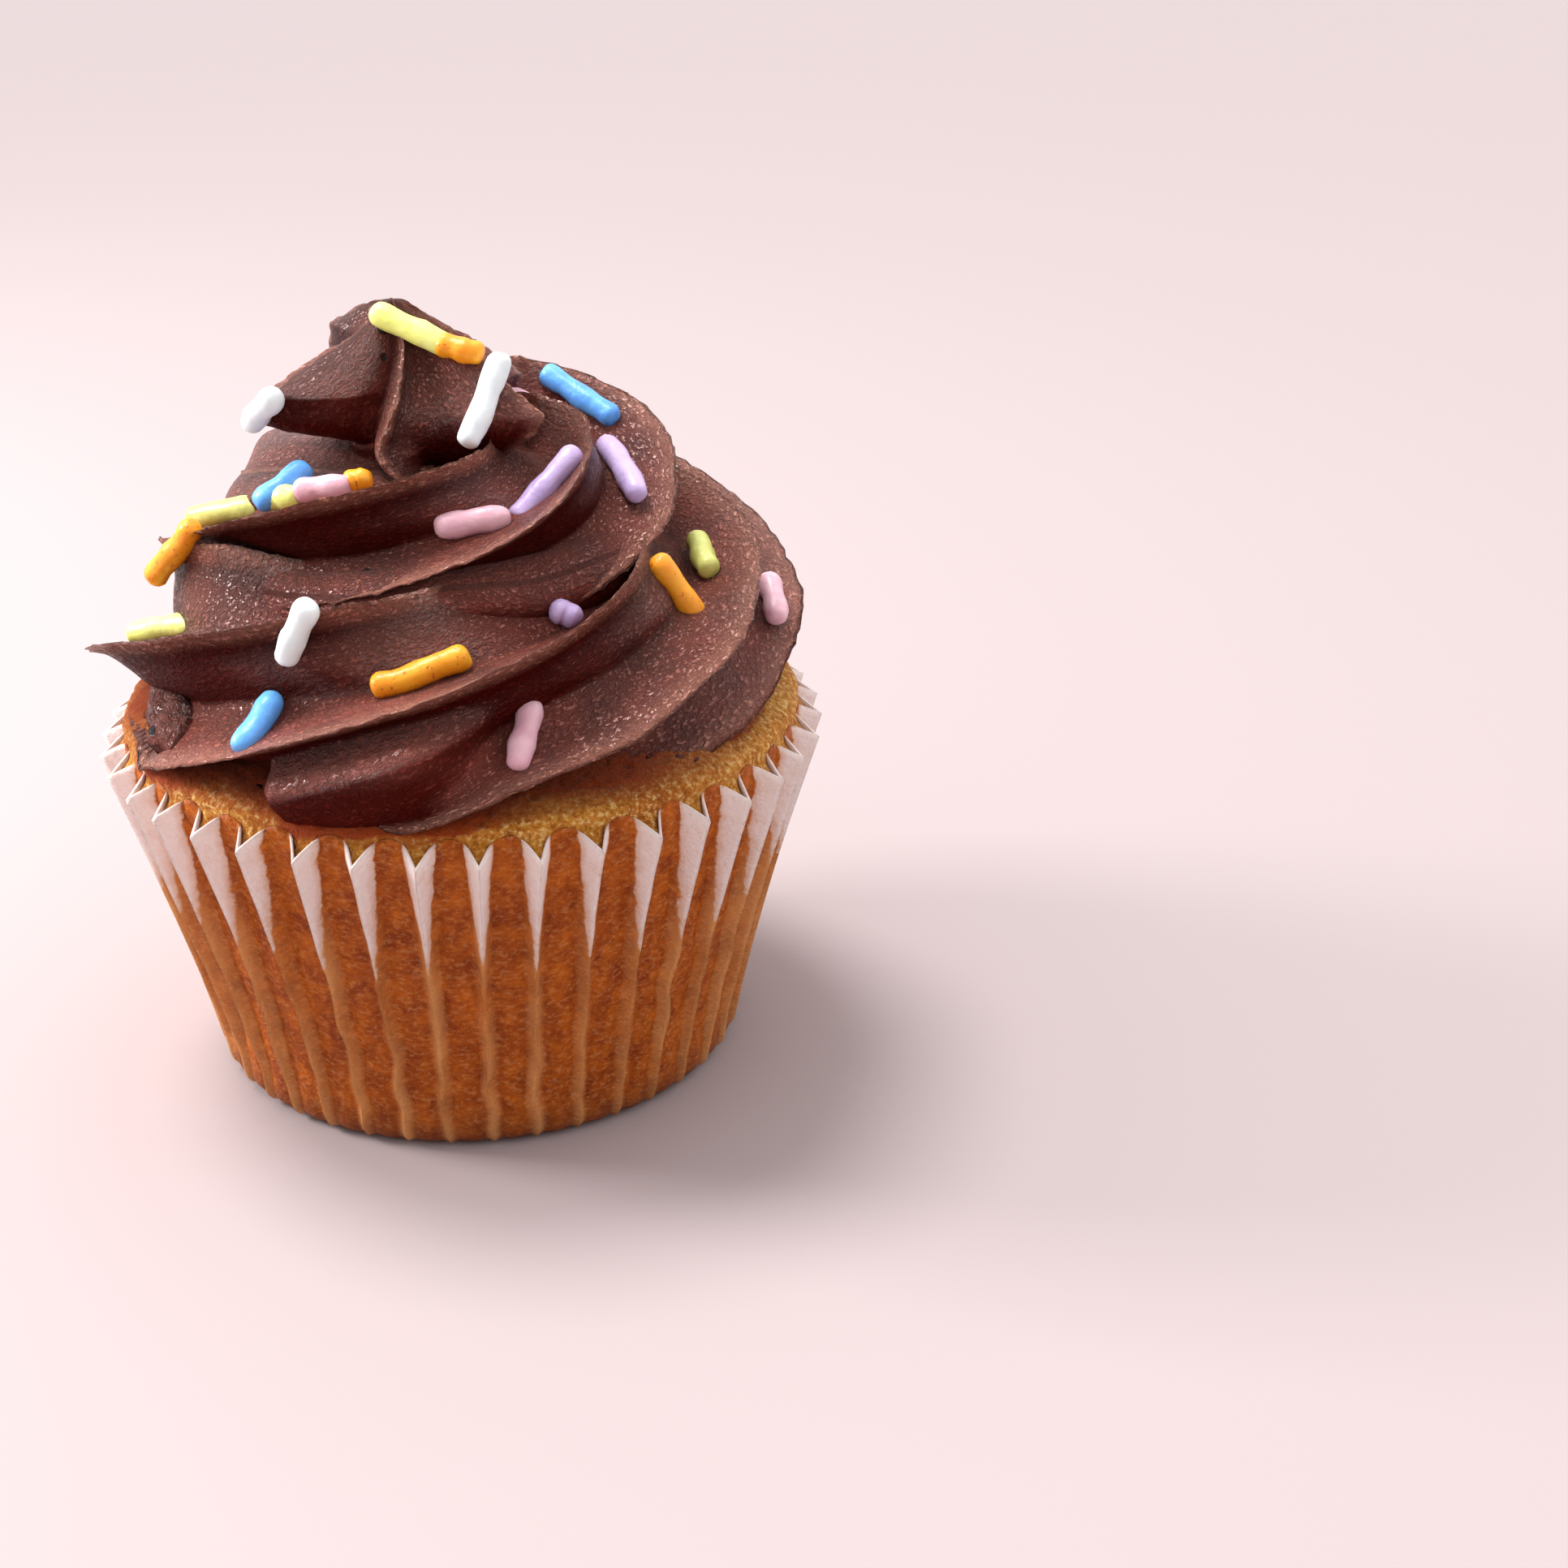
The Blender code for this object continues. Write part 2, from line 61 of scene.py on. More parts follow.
def smooth_step(value: float | np.ndarray, low: float, high: float) -> float | np.ndarray:
    """Rise from 0 at low to 1 at high without corners.

    Args:
        value: Number or array to read.
        low: Value at which the rise starts.
        high: Value at which it ends.

    Returns:
        The eased value, of the same shape.
    """
    part = np.clip((value - low) / (high - low), 0.0, 1.0)
    return part * part * (3.0 - 2.0 * part)


def field_noise(points: np.ndarray, scale: float, seed: float = 0.0) -> np.ndarray:
    """Read smooth noise at points.

    Args:
        points: Array of points, shape (count, 3), in metres.
        scale: Size of one bump in metres.
        seed: Shift that picks another part of the noise.

    Returns:
        One value per point, about -1 to 1.
    """
    shift = Vector((seed * 7.3, seed * 3.1, seed * 5.7))
    return np.array([noise.noise(Vector(point) / scale + shift) for point in points])


def new_object(name: str, verts: np.ndarray | list, faces: list) -> bpy.types.Object:
    """Make a smooth-shaded object from vertices and faces.

    Args:
        name: Name of the piece.
        verts: Vertex positions in metres.
        faces: Faces as tuples of vertex numbers.

    Returns:
        The object, linked to the scene.
    """
    mesh = bpy.data.meshes.new(name)
    mesh.from_pydata([tuple(v) for v in verts], [], [tuple(f) for f in faces])
    mesh.update()
    mesh.shade_smooth()
    item = bpy.data.objects.new(name, mesh)
    bpy.context.scene.collection.objects.link(item)
    return item


def face_outward(item: bpy.types.Object) -> None:
    """Turn all faces of a closed mesh outward.

    Args:
        item: The object to mend.
    """
    work = bmesh.new()
    work.from_mesh(item.data)
    bmesh.ops.recalc_face_normals(work, faces=work.faces)
    work.to_mesh(item.data)
    work.free()


def grow(source: bpy.types.Object, tree: bpy.types.NodeTree, sizes: dict[str, float]) -> bpy.types.Mesh:
    """Run a node tree on an object and keep the mesh that it makes.

    Args:
        source: The object to start from, which is removed afterwards.
        tree: The geometry node group.
        sizes: Values of its named inputs.

    Returns:
        The finished mesh.
    """
    steps = source.modifiers.new(tree.name, "NODES")
    steps.node_group = tree
    for socket in tree.interface.items_tree:
        if socket.in_out == "INPUT" and socket.name in sizes:
            steps[socket.identifier] = sizes[socket.name]
    graph = bpy.context.evaluated_depsgraph_get()
    mesh = bpy.data.meshes.new_from_object(source.evaluated_get(graph))
    bpy.data.objects.remove(source)
    return mesh


def store(item: bpy.types.Object, name: str, values: np.ndarray) -> None:
    """Keep one number per vertex as a named attribute.

    Args:
        item: The object.
        name: Name of the attribute.
        values: One number per vertex.
    """
    layer = item.data.attributes.new(name, "FLOAT", "POINT")
    layer.data.foreach_set("value", np.asarray(values, dtype=np.float32))


def positions(item: bpy.types.Object) -> np.ndarray:
    """Read an object's vertex positions.

    Args:
        item: The object.

    Returns:
        Array of shape (count, 3), in metres.
    """
    flat = np.empty(len(item.data.vertices) * 3, dtype=np.float64)
    item.data.vertices.foreach_get("co", flat)
    return flat.reshape(-1, 3)


def move_to(item: bpy.types.Object, points: np.ndarray) -> None:
    """Write an object's vertex positions back.

    Args:
        item: The object.
        points: Array of shape (count, 3), in metres.
    """
    item.data.vertices.foreach_set("co", np.asarray(points, dtype=np.float32).ravel())
    item.data.update()


def grid_faces(rows: int, columns: int, closed: bool, start: int = 0) -> list:
    """Quads over a grid of vertices numbered row by row.

    Args:
        rows: Number of rows.
        columns: Number of vertices in a row.
        closed: True where each row is a ring.
        start: Number of the first vertex.

    Returns:
        Faces as tuples of four vertex numbers.
    """
    faces = []
    last = columns if closed else columns - 1
    for i in range(rows - 1):
        for j in range(last):
            k = (j + 1) % columns
            a = start + i * columns
            b = a + columns
            faces.append((a + j, a + k, b + k, b + j))
    return faces


def closed_tube(rings: np.ndarray, start: int = 0) -> tuple[list, list]:
    """Close a grid of ring points into a tube with fans at both ends.

    Args:
        rings: Array of shape (rings, points, 3).
        start: Number of the first vertex.

    Returns:
        The tube's vertices and faces.
    """
    count, around = rings.shape[0], rings.shape[1]
    verts = [tuple(point) for ring in rings for point in ring]
    faces = grid_faces(count, around, True, start)
    foot = start + len(verts)
    verts.append(tuple(rings[0].mean(axis=0)))
    verts.append(tuple(rings[-1].mean(axis=0)))
    last = start + (count - 1) * around
    for j in range(around):
        k = (j + 1) % around
        faces.append((foot, start + k, start + j))
        faces.append((foot + 1, last + j, last + k))
    return verts, faces


class Shading:
    """A material's node tree, with short calls to add and join nodes."""

    def __init__(self, name: str) -> None:
        """Start a material with a Principled shader.

        Args:
            name: Name of the material.
        """
        self.material = bpy.data.materials.new(name)
        self.material.use_nodes = True
        self.tree = self.material.node_tree
        self.shader = self.tree.nodes["Principled BSDF"]

    def add(self, kind: str, **values: object) -> bpy.types.Node:
        """Add a node.

        Args:
            kind: Blender's type name without its ShaderNode prefix.
            **values: Properties of the node, or inputs by name with spaces as underscores.

        Returns:
            The node.
        """
        node = self.tree.nodes.new("ShaderNode" + kind)
        for key, value in values.items():
            if hasattr(node, key):
                setattr(node, key, value)
            else:
                node.inputs[key.replace("_", " ")].default_value = value
        return node

    def join(self, source: bpy.types.NodeSocket, target: bpy.types.NodeSocket) -> None:
        """Link an output to an input.

        Args:
            source: The output.
            target: The input.
        """
        self.tree.links.new(source, target)

    def fix(self, **values: object) -> None:
        """Set the shader's own sockets.

        Args:
            **values: Values by the socket's name, with spaces as underscores.
        """
        for key, value in values.items():
            self.shader.inputs[key.replace("_", " ")].default_value = value

    def place(self, stretch: tuple[float, float, float] = (1.0, 1.0, 1.0)) -> bpy.types.NodeSocket:
        """Object coordinates, scaled along each axis.

        Args:
            stretch: Scale along X, Y and Z.

        Returns:
            The coordinates.
        """
        coords = self.add("TexCoord")
        mapping = self.add("Mapping")
        mapping.inputs["Scale"].default_value = stretch
        self.join(coords.outputs["Object"], mapping.inputs["Vector"])
        return mapping.outputs["Vector"]

    def grain(
        self, vector: bpy.types.NodeSocket, scale: float, detail: float = 3.0, rough: float = 0.5
    ) -> bpy.types.NodeSocket:
        """Noise at a scale, as a number from 0 to 1.

        Args:
            vector: Coordinates to read it at.
            scale: Bumps in a metre.
            detail: Number of finer layers.
            rough: Strength of the finer layers.

        Returns:
            The noise.
        """
        node = self.add("TexNoise", Scale=scale, Detail=detail, Roughness=rough)
        self.join(vector, node.inputs["Vector"])
        return node.outputs["Fac"]

    def spread(
        self,
        value: bpy.types.NodeSocket,
        low: float,
        high: float,
        out_low: float = 0.0,
        out_high: float = 1.0,
    ) -> bpy.types.NodeSocket:
        """Map a range of values onto another, with no overshoot.

        Args:
            value: Number to map.
            low: Start of its range.
            high: End of its range.
            out_low: What the start becomes.
            out_high: What the end becomes.

        Returns:
            The mapped number.
        """
        node = self.add("MapRange", clamp=True)
        self.join(value, node.inputs["Value"])
        node.inputs["From Min"].default_value = low
        node.inputs["From Max"].default_value = high
        node.inputs["To Min"].default_value = out_low
        node.inputs["To Max"].default_value = out_high
        return node.outputs["Result"]

    def blend(
        self,
        part: bpy.types.NodeSocket,
        first: bpy.types.NodeSocket | Colour,
        second: bpy.types.NodeSocket | Colour,
    ) -> bpy.types.NodeSocket:
        """Mix two colours by a factor.

        Args:
            part: Share of the second, 0 to 1.
            first: First colour.
            second: Second colour.

        Returns:
            The mixed colour.
        """
        node = self.add("Mix", data_type="RGBA")
        self.join(part, node.inputs[0])
        for socket, value in ((node.inputs[6], first), (node.inputs[7], second)):
            if isinstance(value, tuple):
                socket.default_value = value
            else:
                self.join(value, socket)
        return node.outputs[2]

    def maths(
        self,
        operation: str,
        first: bpy.types.NodeSocket | float,
        second: bpy.types.NodeSocket | float = 0.0,
    ) -> bpy.types.NodeSocket:
        """One sum on two numbers.

        Args:
            operation: The sum's name, such as MULTIPLY.
            first: First number.
            second: Second number.

        Returns:
            The result.
        """
        node = self.add("Math", operation=operation)
        for socket, value in ((node.inputs[0], first), (node.inputs[1], second)):
            if isinstance(value, float):
                socket.default_value = value
            else:
                self.join(value, socket)
        return node.outputs[0]

    def attribute(self, name: str) -> bpy.types.NodeSocket:
        """Number kept on the piece's own vertices.

        Args:
            name: Name that it was stored under.

        Returns:
            The number.
        """
        node = self.add("Attribute", attribute_name=name)
        return node.outputs["Fac"]

    def bump(
        self,
        height: bpy.types.NodeSocket,
        strength: float,
        distance: float,
        under: bpy.types.NodeSocket | None = None,
    ) -> bpy.types.NodeSocket:
        """Relief from a height, on top of an earlier relief.

        Args:
            height: Height, 0 to 1.
            strength: Share of the relief that shows.
            distance: Depth in metres.
            under: Earlier relief, if there is one.

        Returns:
            The normal.
        """
        node = self.add("Bump", Strength=strength, Distance=distance)
        self.join(height, node.inputs["Height"])
        if under is not None:
            self.join(under, node.inputs["Normal"])
        return node.outputs["Normal"]

    def finish(
        self,
        colour: bpy.types.NodeSocket,
        rough: bpy.types.NodeSocket | None = None,
        normal: bpy.types.NodeSocket | None = None,
    ) -> bpy.types.Material:
        """Join colour, roughness and relief to the shader.

        Args:
            colour: Base colour.
            rough: Roughness, where it varies.
            normal: Relief.

        Returns:
            The finished material.
        """
        self.join(colour, self.shader.inputs["Base Color"])
        if rough is not None:
            self.join(rough, self.shader.inputs["Roughness"])
        if normal is not None:
            self.join(normal, self.shader.inputs["Normal"])
        return self.material


@dataclass(frozen=True)
class Viewpoint:
    """Where the photograph was taken from."""

    eye: tuple[float, float, float] = (0.0297, -0.1963, 0.1148)
    look_down: float = math.radians(24.66)
    roll: float = math.radians(0.2)
    focal_pixels: float = 2800.0
    width_pixels: float = 1932.0
    sensor: float = 36.0

    def sight_line(self, pixel: Pixel) -> Vector:
        """Direction from the eye through a point of the 1932 by 1932 picture.

        Args:
            pixel: Column and row, from the top left.

        Returns:
            Unit direction.
        """
        ahead = Vector((0.0, math.cos(self.look_down), -math.sin(self.look_down)))
        level = Vector((1.0, 0.0, 0.0))
        upright = level.cross(ahead)
        right = level * math.cos(self.roll) + upright * math.sin(self.roll)
        up = upright * math.cos(self.roll) - level * math.sin(self.roll)
        x = (pixel[0] - self.width_pixels / 2.0) / self.focal_pixels
        y = (self.width_pixels / 2.0 - pixel[1]) / self.focal_pixels
        return (ahead + right * x + up * y).normalized()

    def make_camera(self) -> bpy.types.Object:
        """Put the scene's camera at the photograph's viewpoint.

        Returns:
            The camera.
        """
        data = bpy.data.cameras.new("photo_camera")
        data.sensor_width = self.sensor
        data.lens = self.sensor * self.focal_pixels / self.width_pixels
        data.clip_start = 0.01
        camera = bpy.data.objects.new("photo_camera", data)
        bpy.context.scene.collection.objects.link(camera)
        camera.location = self.eye
        camera.rotation_mode = "ZXY"
        camera.rotation_euler = (math.pi / 2.0 - self.look_down, 0.0, 0.0)
        turn = camera.rotation_euler.to_matrix() @ Vector((0.0, 0.0, 1.0))
        camera.rotation_euler.rotate(Quaternion(turn, self.roll))
        bpy.context.scene.camera = camera
        return camera


# Finishes


@dataclass(frozen=True)
class ChocolateFinish:
    """Dark chocolate buttercream, grainy along the piping, with painted highlights and painted shade."""

    # Painted shade colour, below the crests and in the grooves.
    shade: Colour = (0.038, 0.0014, 0.0008, 1.0)
    # Darker tone in the clouds, and painted shade on faces that turn down.
    deep_tone_and_shade: Colour = (0.070, 0.0034, 0.0016, 1.0)
    body: Colour = (0.320, 0.0480, 0.0270, 1.0)
    # Grain tone, and a painted highlight on the raised grain.
    fleck_and_glint: Colour = (0.460, 0.150, 0.096, 1.0)
    # Paler colour, painted as a highlight along the crests.
    crest: Colour = (0.460, 0.190, 0.130, 1.0)
    painted_sheen: Colour = (0.235, 0.082, 0.058, 1.0)
    # Near-black painted shade inside the pits.
    pit_shade: Colour = (0.008, 0.002, 0.002, 1.0)
    roughness: tuple[float, float] = (0.24, 0.46)

    def material(self) -> bpy.types.Material:
        """Build the procedural material.

        Returns:
            The material.
        """
        shade = Shading("chocolate_icing")
        along = shade.add("UVMap", uv_map="piping")
        stretch = shade.add("Mapping")
        stretch.inputs["Scale"].default_value = (0.70, 1.0, 1.0)
        shade.join(along.outputs["UV"], stretch.inputs["Vector"])
        streak = shade.grain(stretch.outputs["Vector"], 2.5, 4.0, 0.66)
        streak = shade.spread(streak, 0.40, 0.60)
        round_grain = shade.grain(shade.place(), 1500.0, 3.0, 0.65)
        cloud = shade.grain(shade.place(), 130.0, 3.0, 0.5)
        crest = shade.attribute("crest")
        colour = shade.blend(shade.spread(cloud, 0.35, 0.65), self.deep_tone_and_shade, self.body)
        # Grain tone and painted highlight: the high points of the streak relief are blended paler.
        colour = shade.blend(shade.spread(streak, 0.55, 1.0, 0.0, 0.42), colour, self.fleck_and_glint)
        lit = shade.attribute("upward_light")
        # Painted shade: darker colour right below each crest and along the grooves.
        lee_shade = shade.maths("MULTIPLY", shade.attribute("lee_shade"), 0.96)
        colour = shade.blend(lee_shade, colour, self.shade)
        # Painted shade: faces that turn down are blended toward the deep colour.
        colour = shade.blend(shade.spread(lit, 0.0, 0.8, 0.90, 0.0), colour, self.deep_tone_and_shade)
        # Painted sheen: faces that turn up are blended toward a paler, greyer colour.
        colour = shade.blend(shade.spread(lit, 0.55, 1.0, 0.0, 0.40), colour, self.painted_sheen)
        # Painted highlight: the crests are blended toward the paler crest colour.
        crest_highlight = shade.maths("MULTIPLY", crest, shade.spread(streak, 0.0, 1.0, 0.40, 0.90))
        colour = shade.blend(crest_highlight, colour, self.crest)
        cells = shade.add("TexVoronoi", Scale=210.0, feature="F1", distance="EUCLIDEAN")
        shade.join(shade.place(), cells.inputs["Vector"])
        chance = shade.add("SeparateColor")
        shade.join(cells.outputs["Color"], chance.inputs[0])
        size = shade.spread(chance.outputs[0], 0.50, 1.0, 0.0, 0.13)
        hole = shade.spread(shade.maths("SUBTRACT", size, cells.outputs["Distance"]), 0.0, 0.03)
        # Painted shade: the pits are filled with a near-black colour.
        colour = shade.blend(hole, colour, self.pit_shade)
        rough = shade.spread(streak, 0.0, 1.0, self.roughness[1], self.roughness[0])
        relief = shade.bump(streak, 1.0, 0.00036)
        relief = shade.bump(round_grain, 0.55, 0.00022, relief)
        relief = shade.bump(shade.maths("SUBTRACT", 1.0, hole), 0.9, 0.0006, relief)
        shade.join(shade.spread(lit, 0.0, 1.0, 0.03, 0.52), shade.shader.inputs["Specular IOR Level"])
        shade.fix(IOR=1.45, Subsurface_Weight=0.05, Subsurface_Scale=0.0012)
        shade.fix(Subsurface_Radius=(1.0, 0.35, 0.2), Coat_Weight=0.0)
        return shade.finish(colour, rough, relief)


@dataclass(frozen=True)
class SpongeFinish:
    """Golden sponge, with painted glints on its crumb and painted shade in its pores."""

    crumb: Colour = (0.66, 0.27, 0.030, 1.0)
    crust: Colour = (0.46, 0.140, 0.009, 1.0)
    # Darker colour painted as shade in the pores and dips of the crumb.
    pore_shade: Colour = (0.26, 0.060, 0.004, 1.0)
    # Pale colour painted as glints on the crumb's high points.
    glint: Colour = (0.95, 0.66, 0.26, 1.0)
    # Dark red painted shade where the icing overhangs the crumb.
    overhang_shade: Colour = (0.30, 0.036, 0.002, 1.0)

    def material(self) -> bpy.types.Material:
        """Build the procedural material.

        Returns:
            The material.
        """
        shade = Shading("golden_sponge")
        place = shade.place()
        fine = shade.grain(place, 2100.0, 4.0, 0.68)
        cloud = shade.grain(place, 160.0, 4.0, 0.6)
        colour = shade.blend(shade.spread(cloud, 0.35, 0.68), self.crust, self.crumb)
        # Painted shade in the pores.
        pores = shade.attribute("pore_shade")
        dark = shade.maths("MULTIPLY", pores, shade.spread(fine, 0.3, 0.6, 0.1, 0.7))
        colour = shade.blend(dark, colour, self.pore_shade)
        # Painted glints on the high points of the fine relief.
        colour = shade.blend(shade.spread(fine, 0.52, 0.63, 0.0, 0.75), colour, self.glint)
        # Painted shade in the dips of the fine relief.
        colour = shade.blend(shade.spread(fine, 0.36, 0.47, 0.75, 0.0), colour, self.pore_shade)
        # Painted shade: crumb under and beside the icing is blended toward dark red.
        colour = shade.blend(shade.attribute("overhang_shade"), colour, self.overhang_shade)
        relief = shade.bump(fine, 1.0, 0.00050)
        relief = shade.bump(shade.grain(place, 3600.0, 2.0, 0.6), 0.45, 0.00014, relief)
        shade.fix(Roughness=0.80, Specular_IOR_Level=0.12, Subsurface_Weight=0.18, Subsurface_Scale=0.0016)
        shade.fix(Subsurface_Radius=(1.0, 0.45, 0.15), Sheen_Weight=0.08)
        return shade.finish(colour, None, relief)


@dataclass(frozen=True)
class PaperFinish:
    """Greaseproof paper, whitish where free, browned where it touches the cake, painted paler along its
    folds.
    """

    free: Colour = (0.88, 0.72, 0.67, 1.0)
    tinted: Colour = (0.74, 0.48, 0.36, 1.0)
    soaked: Colour = (0.50, 0.114, 0.005, 1.0)
    toasted: Colour = (0.235, 0.036, 0.002, 1.0)
    tan: Colour = (0.66, 0.300, 0.110, 1.0)
    # Paler tan, painted as a highlight along the folds.
    pale: Colour = (0.78, 0.37, 0.135, 1.0)
    # Darker colour towards the foot of the case.
    darker_foot: Colour = (0.15, 0.040, 0.014, 1.0)

    def material(self) -> bpy.types.Material:
        """Build the procedural material.

        Returns:
            The material.
        """
        shade = Shading("greaseproof_paper")
        place = shade.place()
        blotch = shade.grain(place, 480.0, 5.0, 0.70)
        fine = shade.grain(shade.place((1.0, 1.0, 1.5)), 1900.0, 3.0, 0.6)
        tall = shade.grain(shade.place((1.0, 1.0, 0.35)), 240.0, 3.0, 0.5)
        mottle = shade.blend(shade.spread(blotch, 0.36, 0.66), self.toasted, self.soaked)
        mottle = shade.blend(shade.spread(fine, 0.50, 0.68, 0.0, 0.38), mottle, self.tan)
        mottle = shade.blend(shade.spread(fine, 0.32, 0.46, 0.34, 0.0), mottle, self.toasted)
        # Darker towards the foot of the case.
        foot = shade.attribute("foot")
        mottle = shade.blend(shade.maths("MULTIPLY", foot, 0.60), mottle, self.darker_foot)
        # Painted highlight: wavy paler stripes along the outer folds.
        fold_highlight = shade.maths("MULTIPLY", shade.attribute("fold_highlight"), shade.spread(tall, 0.3, 0.7, 0.25, 0.80))
        mottle = shade.blend(fold_highlight, mottle, self.pale)
        touch = shade.attribute("touch")
        edge = shade.maths("ADD", touch, shade.spread(blotch, 0.3, 0.7, -0.20, 0.20))
        free = shade.blend(shade.spread(edge, 0.0, 0.45), self.free, self.tinted)
        colour = shade.blend(shade.spread(edge, 0.42, 0.58), free, mottle)
        relief = shade.bump(fine, 0.8, 0.00022)
        relief = shade.bump(blotch, 0.5, 0.00034, relief)
        shade.fix(Roughness=0.42, IOR=1.42, Specular_IOR_Level=0.16, Subsurface_Weight=0.08)
        shade.fix(Subsurface_Scale=0.0006, Subsurface_Radius=(1.0, 0.6, 0.4))
        return shade.finish(colour, None, relief)


@dataclass(frozen=True)
class SugarFinish:
    """Matt sugar of one pale colour, with faint blotches or specks."""

    name: str
    colour: Colour
    shadow: Colour
    specks: Colour | None = None

    def material(self) -> bpy.types.Material:
        """Build the procedural material.

        Returns:
            The material.
        """
        shade = Shading("sugar_" + self.name)
        place = shade.place()
        cloud = shade.grain(place, 520.0, 3.0, 0.55)
        colour = shade.blend(shade.spread(cloud, 0.32, 0.70), self.shadow, self.colour)
        if self.specks is not None:
            dots = shade.grain(place, 2600.0, 2.0, 0.5)
            colour = shade.blend(shade.spread(dots, 0.64, 0.70, 0.0, 0.75), colour, self.specks)
        relief = shade.bump(shade.grain(place, 900.0, 3.0, 0.5), 0.40, 0.0003)
        shade.fix(Roughness=0.36, IOR=1.46, Subsurface_Weight=0.22, Subsurface_Scale=0.0012)
        shade.fix(Subsurface_Radius=(1.0, 0.8, 0.7))
        return shade.finish(colour, None, relief)


class Sugar(Enum):
    """Colours of the sprinkles."""

    LEMON = SugarFinish("lemon", (0.94, 0.94, 0.30, 1.0), (0.84, 0.85, 0.20, 1.0))
    LIME = SugarFinish("lime", (0.68, 0.68, 0.20, 1.0), (0.52, 0.52, 0.13, 1.0))
    ORANGE = SugarFinish(
        "orange", (1.00, 0.44, 0.018, 1.0), (0.96, 0.31, 0.010, 1.0), (0.50, 0.07, 0.01, 1.0)
    )
    WHITE = SugarFinish("white", (0.88, 0.92, 0.92, 1.0), (0.78, 0.84, 0.85, 1.0))
    BLUE = SugarFinish("blue", (0.17, 0.50, 0.97, 1.0), (0.10, 0.33, 0.84, 1.0))
    LILAC = SugarFinish("lilac", (0.66, 0.50, 0.78, 1.0), (0.53, 0.38, 0.67, 1.0))
    PINK = SugarFinish("pink", (0.83, 0.51, 0.56, 1.0), (0.72, 0.37, 0.44, 1.0))


# Sub-assemblies


@dataclass
class PaperCase:
    """The pleated case, one pleat repeated all the way round.

    The folds stand out to the rim radius and the panels between them lie back by the
    panel depths at the foot, half way and at the rim. The waves and dents are those of
    handled paper; they calm down between the calm heights.
    """

    pleats: int = 40
    base_radius: float = 25.0 * MM
    rim_radius: float = 33.35 * MM
    fold_height: float = 31.9 * MM
    panel_height: float = 33.8 * MM
    corner: float = 1.6 * MM
    bow: float = 0.5 * MM
    panel_depths: tuple[float, float, float] = (0.4 * MM, 0.7 * MM, 1.3 * MM)
    panel_swell: float = 0.18 * MM
    flank_widths: tuple[float, float] = (0.24, 0.31)
    foot_height: float = 5.0 * MM
    wave_sizes: tuple[float, float] = (9.0 * MM, 3.2 * MM)
    wave_depths: tuple[float, float] = (0.50, 0.62)
    calm_heights: tuple[float, float] = (14.0 * MM, 23.0 * MM)
    dent_size: float = 6.0 * MM
    wall: float = 0.22 * MM
    join_distance: float = 0.02 * MM
    rows: int = 64
    columns: int = 17
    finish: PaperFinish = field(default_factory=PaperFinish)

    def fold_radius(self, height: np.ndarray) -> np.ndarray:
        """Radius of the outer folds at a height.

        Args:
            height: Heights in metres.

        Returns:
            Radii in metres.
        """
        part = np.clip(height / self.fold_height, 0.0, 1.1)
        straight = self.base_radius + (self.rim_radius - self.base_radius) * part
        return straight - self.bow * np.sin(math.pi * np.clip(part, 0.0, 1.0))

    def depth(self, height: np.ndarray) -> np.ndarray:
        """How far the panels lie behind the folds at a height.

        Args:
            height: Heights in metres.

        Returns:
            Depths in metres.
        """
        part = height / self.fold_height
        foot, low, rim = self.panel_depths
        return foot + low * smooth_step(part, 0.0, 0.35) + rim * smooth_step(part, 0.45, 1.0)

    def spread(self, height: np.ndarray) -> np.ndarray:
        """Width of a fold's flank, as a part of half a pleat.

        Args:
            height: Heights in metres.

        Returns:
            The width, 0 to 1.
        """
        part = height / self.fold_height
        narrow, opening = self.flank_widths
        return narrow + opening * np.clip((part - 0.50) / 0.50, 0.0, 1.0)

    def radius(self, near: np.ndarray, height: np.ndarray) -> np.ndarray:
        """Radius of the sheet's outer face.

        Args:
            near: Place across a pleat, 0 at a fold and 1 between two folds.
            height: Heights in metres.

        Returns:
            Radii in metres.
        """
        flank = np.clip(near / self.spread(height), 0.0, 1.0)
        back = self.depth(height) * flank ** 0.9
        swell = self.panel_swell * (1.0 - np.clip((1.0 - near) / 0.6, 0.0, 1.0) ** 2)
        return self.fold_radius(np.minimum(height, self.fold_height)) - back + swell

    def pleat(self) -> bpy.types.Object:
        """One pleat, from the middle of the base to the rim, with its outer fold in its middle.

        Returns:
            An object with the attribute near, 0 at the fold and 1 between two folds.
        """
        across = np.linspace(-1.0, 1.0, self.columns)
        across = np.sign(across) * np.abs(across) ** 1.25
        near = np.abs(across)
        rise = np.linspace(0.0, 1.0, self.rows)
        crown = np.sin(0.5 * math.pi * np.clip(near / 0.97, 0.0, 1.0)) ** 0.95
        rim = self.fold_height + (self.panel_height - self.fold_height) * crown
        height = rise[:, None] * rim[None, :]
        shade = np.broadcast_to(near, height.shape)
        inset = np.where(
            height < self.corner,
            self.corner - np.sqrt(np.maximum(self.corner**2 - (self.corner - height) ** 2, 0.0)),
            0.0,
        )
        radius = self.radius(shade, height) - inset
        half = math.pi / self.pleats
        bearing = across[None, :] * half
        side = np.stack(
            [radius * np.cos(bearing), radius * np.sin(bearing), height], axis=-1
        )
        inner = np.linspace(0.02, 0.985, 10)
        base = side[0][None, :, :] * inner[:, None, None]
        base[..., 2] = 0.0
        grid = np.concatenate([base, side])
        verts = grid.reshape(-1, 3)
        pleat = new_object("pleat", verts, grid_faces(len(grid), self.columns, False))
        flat = np.ones(base.shape[:2])
        store(pleat, "near", np.concatenate([flat, shade]).ravel())
        return pleat

